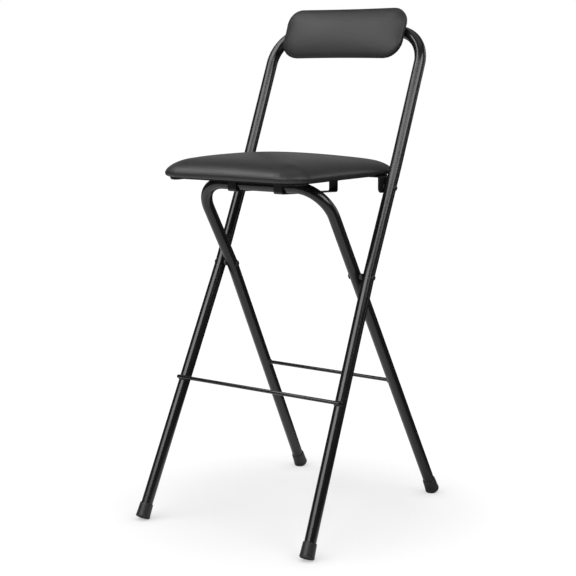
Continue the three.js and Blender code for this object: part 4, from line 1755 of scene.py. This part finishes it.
@dataclass
class RearFrame:
    """The rear hoop with its footrest rod and caps."""

    layout: Layout

    def hoop(self) -> None:
        """The bent tube, from the rear feet to the cross run under the seat."""
        lay = self.layout
        leg = lay.legs[1]
        half = (lay.tube_end(leg), leg.top, lay.run_point + RIGHTWARD * lay.rear_half_width)
        shape = Hoop(half, (lay.kink, lay.rear_corner), lay.tube_radius, lay.tube_wall)
        piece = Piece("rear_hoop", tube_coat, Body.REAR, ("rear_frame_tube",))
        piece.shell(shape.rings(), Ends.LOOPED).build()

    def footrest(self) -> None:
        """The rod between the legs and the beads round its ends."""
        lay = self.layout
        leg = lay.legs[1]
        meeting = leg.at(lay.rod_height)
        sideways = math.hypot(leg.upwards[1], leg.upwards[2])
        half = meeting[0] - lay.tube_radius / sideways + lay.touch_gap
        piece = Piece("rear_footrest", tube_coat, Body.REAR, ("rear_footrest_rod",))
        piece.shell(Rod(lay.rod_radius).rings(centred(meeting), half)).build()
        bead = WeldBead(radius=1.9 * MM, ripples=9.0).collar(lay, leg, meeting)
        build_both(Fitting("rear_footrest_weld", "", [bead], weld_coat, Body.REAR, Ends.LOOPED))

    def build(self) -> None:
        """Builds every piece of the rear frame."""
        self.hoop()
        self.footrest()
        fit_caps(self.layout, self.layout.legs[1], "rear", Body.REAR)


@dataclass
class Seat:
    """The seat: its pad, board, cross bracket, guide straps and screws.

    Lengths run from the seat's pivot. strap_step is the angle from one ring of a strap's bend to the next, in
    degrees, and hem_steps how many points the hem's outline has on each side.
    """

    layout: Layout
    side_gap: float = 3.0 * MM
    front_reach: float = 320 * MM
    rear_reach: float = 62 * MM
    strap_spacing: float = 60 * MM
    strap_width: float = 22 * MM
    strap_bend: float = 4.5 * MM
    strap_edge: float = 0.5 * MM
    strap_step: float = 9.0
    hook_gap: float = 0.9 * MM
    stop_reach: float = 13.8 * MM
    lower_front: float = -3.3 * MM
    lower_rear: float = -12.2 * MM
    bracket_front: float = 22.5 * MM
    bracket_depth: float = 40 * MM
    press_margin: float = 5 * MM
    press_fade: float = 3.5 * MM
    press_rise: float = 0.2 * MM
    staple_spacing: float = 31 * MM
    staple_inset: float = 25 * MM
    staple_clearance: float = 9 * MM
    staple_drop: float = 1.5 * MM
    staple_wire: float = 0.55 * MM
    staple_flatness: float = 0.7
    hem_steps: int = 400
    board_edge: float = 0.6 * MM
    bracket_edge: float = 0.5 * MM

    @property
    def steel_under(self) -> float:
        """The height of the steel's underside: a touching gap above the cross run."""
        run = self.layout.run_point - self.layout.seat_pivot
        return run[2] + self.layout.tube_radius + self.layout.touch_gap

    @property
    def board_under(self) -> float:
        """The height of the board's underside, above the steel by a touching gap."""
        return self.steel_under + self.layout.steel + self.layout.touch_gap

    @property
    def bracket_middle(self) -> float:
        """Y of the bracket's middle."""
        return self.bracket_depth / 2 - self.bracket_front

    @property
    def hook_inner(self) -> float:
        """Y of the straps' front wall, on the side of the cross run."""
        run = self.layout.run_point - self.layout.seat_pivot
        return run[1] - self.layout.tube_radius - self.hook_gap

    def straps(self) -> None:
        """The two closed straps that the cross run slides in: flat steel bent round into a slanted loop."""
        half = self.layout.steel / 2
        front, rear = self.hook_inner - half, -self.stop_reach + half
        top = self.steel_under + half
        corners = np.array([
            [0.0, front, top], [0.0, rear, top],
            [0.0, rear, self.lower_rear - half], [0.0, front, self.lower_front - half],
        ])
        start = (corners[0] + corners[1]) / 2
        path = np.stack([start, *corners[1:], corners[0], start])
        places, tangents = rounded_path(path, [self.strap_bend] * 4, math.radians(self.strap_step))
        section = rounded_section(self.layout.steel, self.strap_width, self.strap_edge)
        rings = swept(places[:-1], tangents[:-1], RIGHTWARD, section) + self.layout.seat_pivot
        for side in Side:
            node = f"seat_guide_bar_{side.word}"
            piece = Piece(f"guide_strap_{side.word}", steel_coat, Body.SEAT, (node,))
            piece.shell(rings + RIGHTWARD * side.value * self.strap_spacing, Ends.LOOPED).build()

    def screws(self) -> None:
        """The screws of the straps and of the bracket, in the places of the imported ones."""
        straps = ("guide_bar_screw_front", "guide_bar_screw_rear")
        for name in (*straps, "bracket_screw_outer", "bracket_screw_inner"):
            for side in Side:
                node = f"{name}_{side.word}"
                low, high = node_box(node)
                seat = np.array([*((low + high) / 2)[:2], low[2] + Screw().rise])
                fit_screw(node, seat, UPWARD, high[2] - seat[2], Body.SEAT)

    def cover(self) -> Pad:
        """The seat's cover with its foam, from the crown round the lip to the hem stapled under the board.

        Returns:
            The pad, with its heights counted from the seat's pivot.
        """
        half = self.layout.main_half_width - self.layout.tube_radius - self.side_gap
        under = self.board_under
        edge = (
            (0.3, 7.6), (1.1, 5.4), (2.6, 3.7), (4.7, 2.6), (7.0, 2.05), (9.0, 1.75), (10.3, 1.1),
            (10.8, 0.2), (11.0, -0.5), (11.6, -1.1), (13.0, -1.35), (18.0, -1.3), (24.0, -1.2),
            (30.0, -1.15), (33.4, -1.1), (34.3, -0.75), (34.3, -0.35), (33.5, -0.12), (24.0, -0.12),
            (12.6, -0.12), (12.15, 0.4), (12.15, 5.0), (12.15, 9.3),
        )
        return Pad(
            name="seat_pad", half_width=half, low=-self.front_reach, high=self.rear_reach,
            low_corner=54 * MM, high_corner=42 * MM, draw_in=2 * MM, widest=under + 10.0 * MM,
            crown=38.9 * MM, base=under, edge=edge, visible_edge=12, swell=2.6 * MM, fill=0.8,
            creases=Creases(), shoulder=66 * MM, shoulder_part=0.7, wedge=1.6, taper=0.24,
        )

    def pad(self) -> None:
        """The seat's pad, gathered at its corners and pressed flat on the bracket."""
        pad = self.cover()
        made = pad.blown_up()
        pad.gather(made)
        self.clamp_hem(made)
        pad.finished(made, Matrix.Translation(Vector(self.layout.seat_pivot)))
        settle_piece(made, pad_vinyl, Body.SEAT, ("seat_cushion",))

    def clamp_hem(self, made: bpy.types.Object) -> None:
        """Presses the hem flat between the board and the bracket.

        Where a point's Y is within the bracket's depth, heights below the board's underside are raised to it.

        Args:
            made: the pad's object, before it is moved to its place.
        """
        points = read_points(made)
        away = np.abs(points[:, 1] - self.bracket_middle)
        within = np.clip((self.bracket_depth / 2 + self.press_margin - away) / self.press_fade, 0, 1)
        lifted = np.maximum(points[:, 2], self.board_under - self.press_rise)
        points[:, 2] += (lifted - points[:, 2]) * within
        move_points(made, points)

    def staples(self) -> None:
        """Wire staples round the hem: each is one bent wire, spaced evenly by the outline's length.

        A row of wire is how far along the hem and how far up it goes, in millimetres.
        """
        spots, outwards = self.cover().outline(np.linspace(0.0, 4.0, 4 * self.hem_steps + 1)[:-1])
        line = spots - outwards * self.staple_inset
        run = run_along(line)
        count = int(run[-1] // self.staple_spacing)
        at = (np.arange(count) + 0.5) * run[-1] / count
        place, facing = read_rows(at, run, line), unit(read_rows(at, run, outwards))
        off = np.abs(place[:, 1] - self.bracket_middle)
        clear = off > self.bracket_depth / 2 + self.staple_clearance
        height = self.board_under - self.staple_drop
        wire = [[-5.0, 3.2], [-5.0, 0.6], [-4.4, 0.0], [0.0, -0.12], [4.4, 0.0], [5.0, 0.6], [5.0, 3.2]]
        wire = np.array(wire) * MM
        section = np.array([1.0, self.staple_flatness]) * circle(8) * self.staple_wire
        piece = Piece("seat_hem_staples", zinc_wire, Body.SEAT)
        for spot, out in zip(place[clear], facing[clear]):
            along = np.array([-out[1], out[0], 0.0])
            places = np.array([*spot, height]) + wire[:, :1] * along + wire[:, 1:] * UPWARD
            places = places + self.layout.seat_pivot
            tangents = unit(np.gradient(places, axis=0))
            piece.shell(swept(places, tangents, np.array([*out, 0.0]), section))
        piece.build()

    def build(self) -> None:
        """Builds every piece of the seat."""
        self.pad()
        self.staples()
        eased_copy("seat_board", "seat_ply", self.board_edge, stained_ply, Body.SEAT)
        eased_copy("seat_cross_bracket", "cross_bracket", self.bracket_edge, steel_coat, Body.SEAT)
        self.straps()
        self.screws()


@dataclass
class Backrest:
    """The backrest's pad, board, back panel and screws. Heights run forward from the board's rear face."""

    layout: Layout
    half_width: float = 157 * MM
    height: float = 112 * MM
    drop: float = 14 * MM
    low_corner: float = 42 * MM
    high_corner: float = 34 * MM
    panel: float = 1.6 * MM
    panel_edge: float = 0.6 * MM
    plump: float = 1.8 * MM
    screw_bite: float = 6.5 * MM

    def place(self) -> Matrix:
        """Stands the pad up: its plan's second axis goes up the lean, and its heights go forward.

        Returns:
            Where the pad's local zero and axes go.
        """
        rear = self.layout.tube_radius + 2 * self.layout.touch_gap + self.panel
        stand = Matrix(((1, 0, 0, 0), (0, 0, -1, -rear), (0, 1, 0, 0), (0, 0, 0, 1)))
        lean = Matrix.Rotation(-self.layout.back_lean, 4, "X")
        return Matrix.Translation(Vector(self.layout.back_point)) @ lean @ stand

    def pad(self) -> None:
        """The backrest's cover with its foam, turned in round the board under the back panel."""
        edge = (
            (0.12, 10.6), (0.5, 7.8), (1.2, 5.2), (2.3, 2.9), (3.8, 1.2), (5.4, 0.15), (7.0, -0.25),
            (8.4, -0.27), (12.0, -0.25), (14.0, -0.22), (14.0, -0.08), (7.6, -0.08), (7.15, 0.3), (7.15, 9.3),
        )
        low, high = (-self.drop + side * (self.height / 2 + self.plump) for side in (-1, 1))
        gathers = Creases(per_corner=7, width=2.2 * MM, depth=0.5 * MM, length=13 * MM, lump=0.0, seed=9)
        pad = Pad(
            name="backrest_pad", half_width=self.half_width, low=low, high=high,
            low_corner=self.low_corner, high_corner=self.high_corner, draw_in=1 * MM, widest=13 * MM,
            crown=12.4 * MM, base=0.0, edge=edge, visible_edge=8, swell=1.2 * MM, fill=0.85,
            creases=gathers, shoulder=40 * MM, shoulder_part=0.72, cells=72,
        )
        made = pad.blown_up()
        pad.gather(made)
        pad.finished(made, self.place())
        settle_piece(made, back_vinyl, Body.MAIN, ("backrest_cushion",))

    def screws(self) -> None:
        """The two screws through the tube's top run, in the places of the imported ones."""
        forward = np.array(self.place().to_3x3() @ Vector((0.0, 0.0, 1.0)))
        reach = self.layout.tube_radius + self.layout.touch_gap
        for side in Side:
            node = f"backrest_screw_{side.word}"
            low, high = node_box(node)
            seat = self.layout.back_point + (low + high) / 2 * RIGHTWARD - forward * reach
            fit_screw(node, seat, forward, 2 * reach + self.panel + self.screw_bite, Body.MAIN)

    def build(self) -> None:
        """Builds every piece of the backrest."""
        self.pad()
        eased_copy("backrest_board", "backrest_ply", 0.5 * MM, stained_ply, Body.MAIN)
        eased_copy("backrest_back_panel", "backrest_panel", self.panel_edge, faced_board, Body.MAIN)
        self.screws()


# The studio


@dataclass(frozen=True)
class Softbox:
    """A rectangular soft light: radiance is what a mirror facing it would show."""

    name: str
    place: tuple[float, float, float]
    aim: tuple[float, float, float]
    width: float
    height: float
    radiance: float

    def build(self) -> None:
        """Adds the lamp. Its power is radiance times area times pi."""
        lamp = bpy.data.lights.new(self.name, "AREA")
        lamp.shape = "RECTANGLE"
        lamp.size, lamp.size_y = self.width, self.height
        lamp.energy = self.radiance * self.width * self.height * math.pi
        made = linked(self.name, lamp)
        made.location = self.place
        way = Vector(self.aim) - Vector(self.place)
        made.rotation_euler = way.to_track_quat("-Z", "Y").to_euler()
        made.visible_camera = False


@dataclass
class Studio:
    """The camera, the pale floor, the white surround and the lamps.

    surround is the world's plain light, and room what reflections find in it. backdrop is the strength of a
    bright band that they find on the far side, between the heights of band_start and band_end and within
    band_turn degrees. ground, ground_gleam and bright_side say what they find in the floor, and least_open
    is how bright the floor stays right under a foot, in its painted contact shadow.
    """

    azimuth: float = 36.19
    elevation: float = 9.03
    camera_place: tuple[float, float, float] = (1.76667, -2.45124, 0.9744)
    lens: float = 87.706
    sensor: float = 36.0
    surround: float = 0.3
    room: float = 0.035
    backdrop: float = 0.45
    band_start: tuple[float, float] = (0.03, 0.13)
    band_end: tuple[float, float] = (0.4, 0.7)
    band_turn: tuple[float, float] = (55.0, 25.0)
    floor_reach: float = 14.0
    ground: float = 0.04
    ground_gleam: float = 0.84
    bright_side: tuple[float, float, float] = (-0.5, -0.87, 0.0)
    floor_colour: Colour = (0.82, 0.82, 0.82)
    contact: float = 0.05
    contact_samples: int = 8
    least_open: float = 0.6
    # the floor's own white near the stool, dimmed as painted soft shade
    near_white: float = 0.95
    far_lift: float = 0.1
    shade_edge: tuple[float, float] = (0.16, 0.56)
    side_edge: tuple[float, float] = (-0.6, -0.05)
    gleam_edge: tuple[float, float] = (1.6, 4.5)
    lamps: tuple[Softbox, ...] = (
        Softbox("key_softbox", (-0.6, -5.0, 3.95), (0.0, 0.0, 0.7), 5.4, 2.7, 5.1),
        Softbox("left_softbox", (-1.4, -0.83, 2.62), (0.0, -0.26, 0.76), 1.3, 0.8, 6.4),
        Softbox("right_softbox", (1.2, -1.2, 2.05), (0.1, 0.0, 0.95), 0.4, 0.5, 6.5),
        Softbox("bend_softbox", (1.62, -0.27, 1.75), (0.15, -0.14, 0.72), 1.1, 0.9, 5.0),
        Softbox("top_softbox", (0.1, 0.3, 3.1), (0.0, 0.0, 0.6), 2.2, 2.2, 0.6),
        Softbox("side_strip", (2.15, 1.46, 1.2), (0.0, 0.0, 0.6), 0.35, 2.2, 1.0),
        Softbox("rear_softbox", (1.5, 2.9, 1.7), (0.0, 0.0, 0.6), 1.4, 1.8, 1.5),
    )

    def camera(self) -> None:
        """The camera at the photograph's angle."""
        data = bpy.data.cameras.new("camera")
        data.lens = self.lens
        data.sensor_width = self.sensor
        made = linked("camera", data)
        made.location = self.camera_place
        made.rotation_euler = (math.radians(90 - self.elevation), 0.0, math.radians(self.azimuth))
        bpy.context.scene.camera = made

    def world(self) -> None:
        """White for the camera. Reflections find a dim room with a bright band low on the far side."""
        world = bpy.data.worlds.new("studio")
        bpy.context.scene.world = world
        world.use_nodes = True
        tree = Tree(world.node_tree)
        azimuth = math.radians(self.azimuth)
        ahead = (-math.sin(azimuth), math.cos(azimuth), 0.0)
        way = tree.add("ShaderNodeTexCoord", output=0)
        height = tree.axis(way, 2)
        band = height.stepped(*self.band_start) * (1 - height.stepped(*self.band_end))
        edge = (math.cos(math.radians(angle)) for angle in self.band_turn)
        mirror = self.room + band * tree.measure("DOT_PRODUCT", way, ahead).stepped(*edge) * self.backdrop
        glossy = tree.ray(Ray.GLOSSY)
        other = (1 - glossy) * self.surround + glossy * mirror
        plain = tree.ray(Ray.CAMERA).greater(tree.ray(Ray.TRANSMISSION))
        background = world.node_tree.nodes["Background"].inputs
        tree.feed(background["Color"], (1.0, 1.0, 1.0))
        tree.feed(background["Strength"], plain + (1 - plain) * other)

    def floor(self) -> None:
        """A wide white floor that keeps the stool's soft shadow.

        Near the stool it is half lit by the lamps and half white of its own, whose white is a little dimmer
        there as painted soft shade, and beyond the shade it is all white. Within the contact distance of a
        foot its white and what reflections find in it darken, a painted contact shadow. Reflections find it
        bright in front of the stool and dim behind it and to its right.
        """
        corners = np.array([[-1.0, -1.0, 0.0], [1.0, -1.0, 0.0], [1.0, 1.0, 0.0], [-1.0, 1.0, 0.0]])
        mesh = new_mesh("floor", corners * self.floor_reach, [[0, 1, 2, 3]])
        made = linked("floor", mesh)
        material = bpy.data.materials.new("pale_floor")
        material.use_nodes = True
        tree = Tree(material.node_tree)
        place = tree.place()
        away = tree.measure("LENGTH", place)
        far = away.stepped(*self.shade_edge)
        samples = {"samples": self.contact_samples}
        # ambient occlusion darkens the floor round the feet: a painted contact shadow, also in what
        # reflections find
        open_sky = tree.add("ShaderNodeAmbientOcclusion", samples, {"Distance": self.contact}, 1)
        # the floor's own white is dimmer near the stool: painted soft shade
        white = self.near_white + far * self.far_lift
        white = white * (self.least_open + open_sky * (1 - self.least_open))
        gleam = tree.measure("DOT_PRODUCT", place, self.bright_side).stepped(*self.side_edge)
        found = self.ground + gleam * (1 - away.stepped(*self.gleam_edge)) * self.ground_gleam
        lit = tree.add("ShaderNodeBsdfDiffuse", inputs={"Color": self.floor_colour})
        glow = tree.add("ShaderNodeEmission", inputs={"Strength": white})
        mirror = tree.add("ShaderNodeEmission", inputs={"Strength": found * open_sky * open_sky})
        share = tree.ray(Ray.CAMERA) * (0.5 + far * 0.5)
        both = tree.add("ShaderNodeMixShader", inputs={0: share, 1: lit, 2: glow})
        shown = tree.add("ShaderNodeMixShader", inputs={0: tree.ray(Ray.GLOSSY), 1: both, 2: mirror})
        tree.feed(material.node_tree.nodes["Material Output"].inputs["Surface"], shown)
        mesh.materials.append(material)

    def build(self) -> None:
        """Sets the studio up."""
        bpy.context.scene.view_settings.view_transform = "Standard"
        self.camera()
        self.world()
        self.floor()
        for lamp in self.lamps:
            lamp.build()


def main() -> None:
    logging.basicConfig(level=logging.INFO, format="%(name)s: %(message)s", stream=sys.stdout)
    Studio().build()
    layout = Layout()
    for assembly in (MainFrame(layout), RearFrame(layout), Seat(layout), Backrest(layout)):
        assembly.build()
        log.info("%s is built", type(assembly).__name__)
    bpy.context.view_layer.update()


if __name__ == "__main__":
    main()
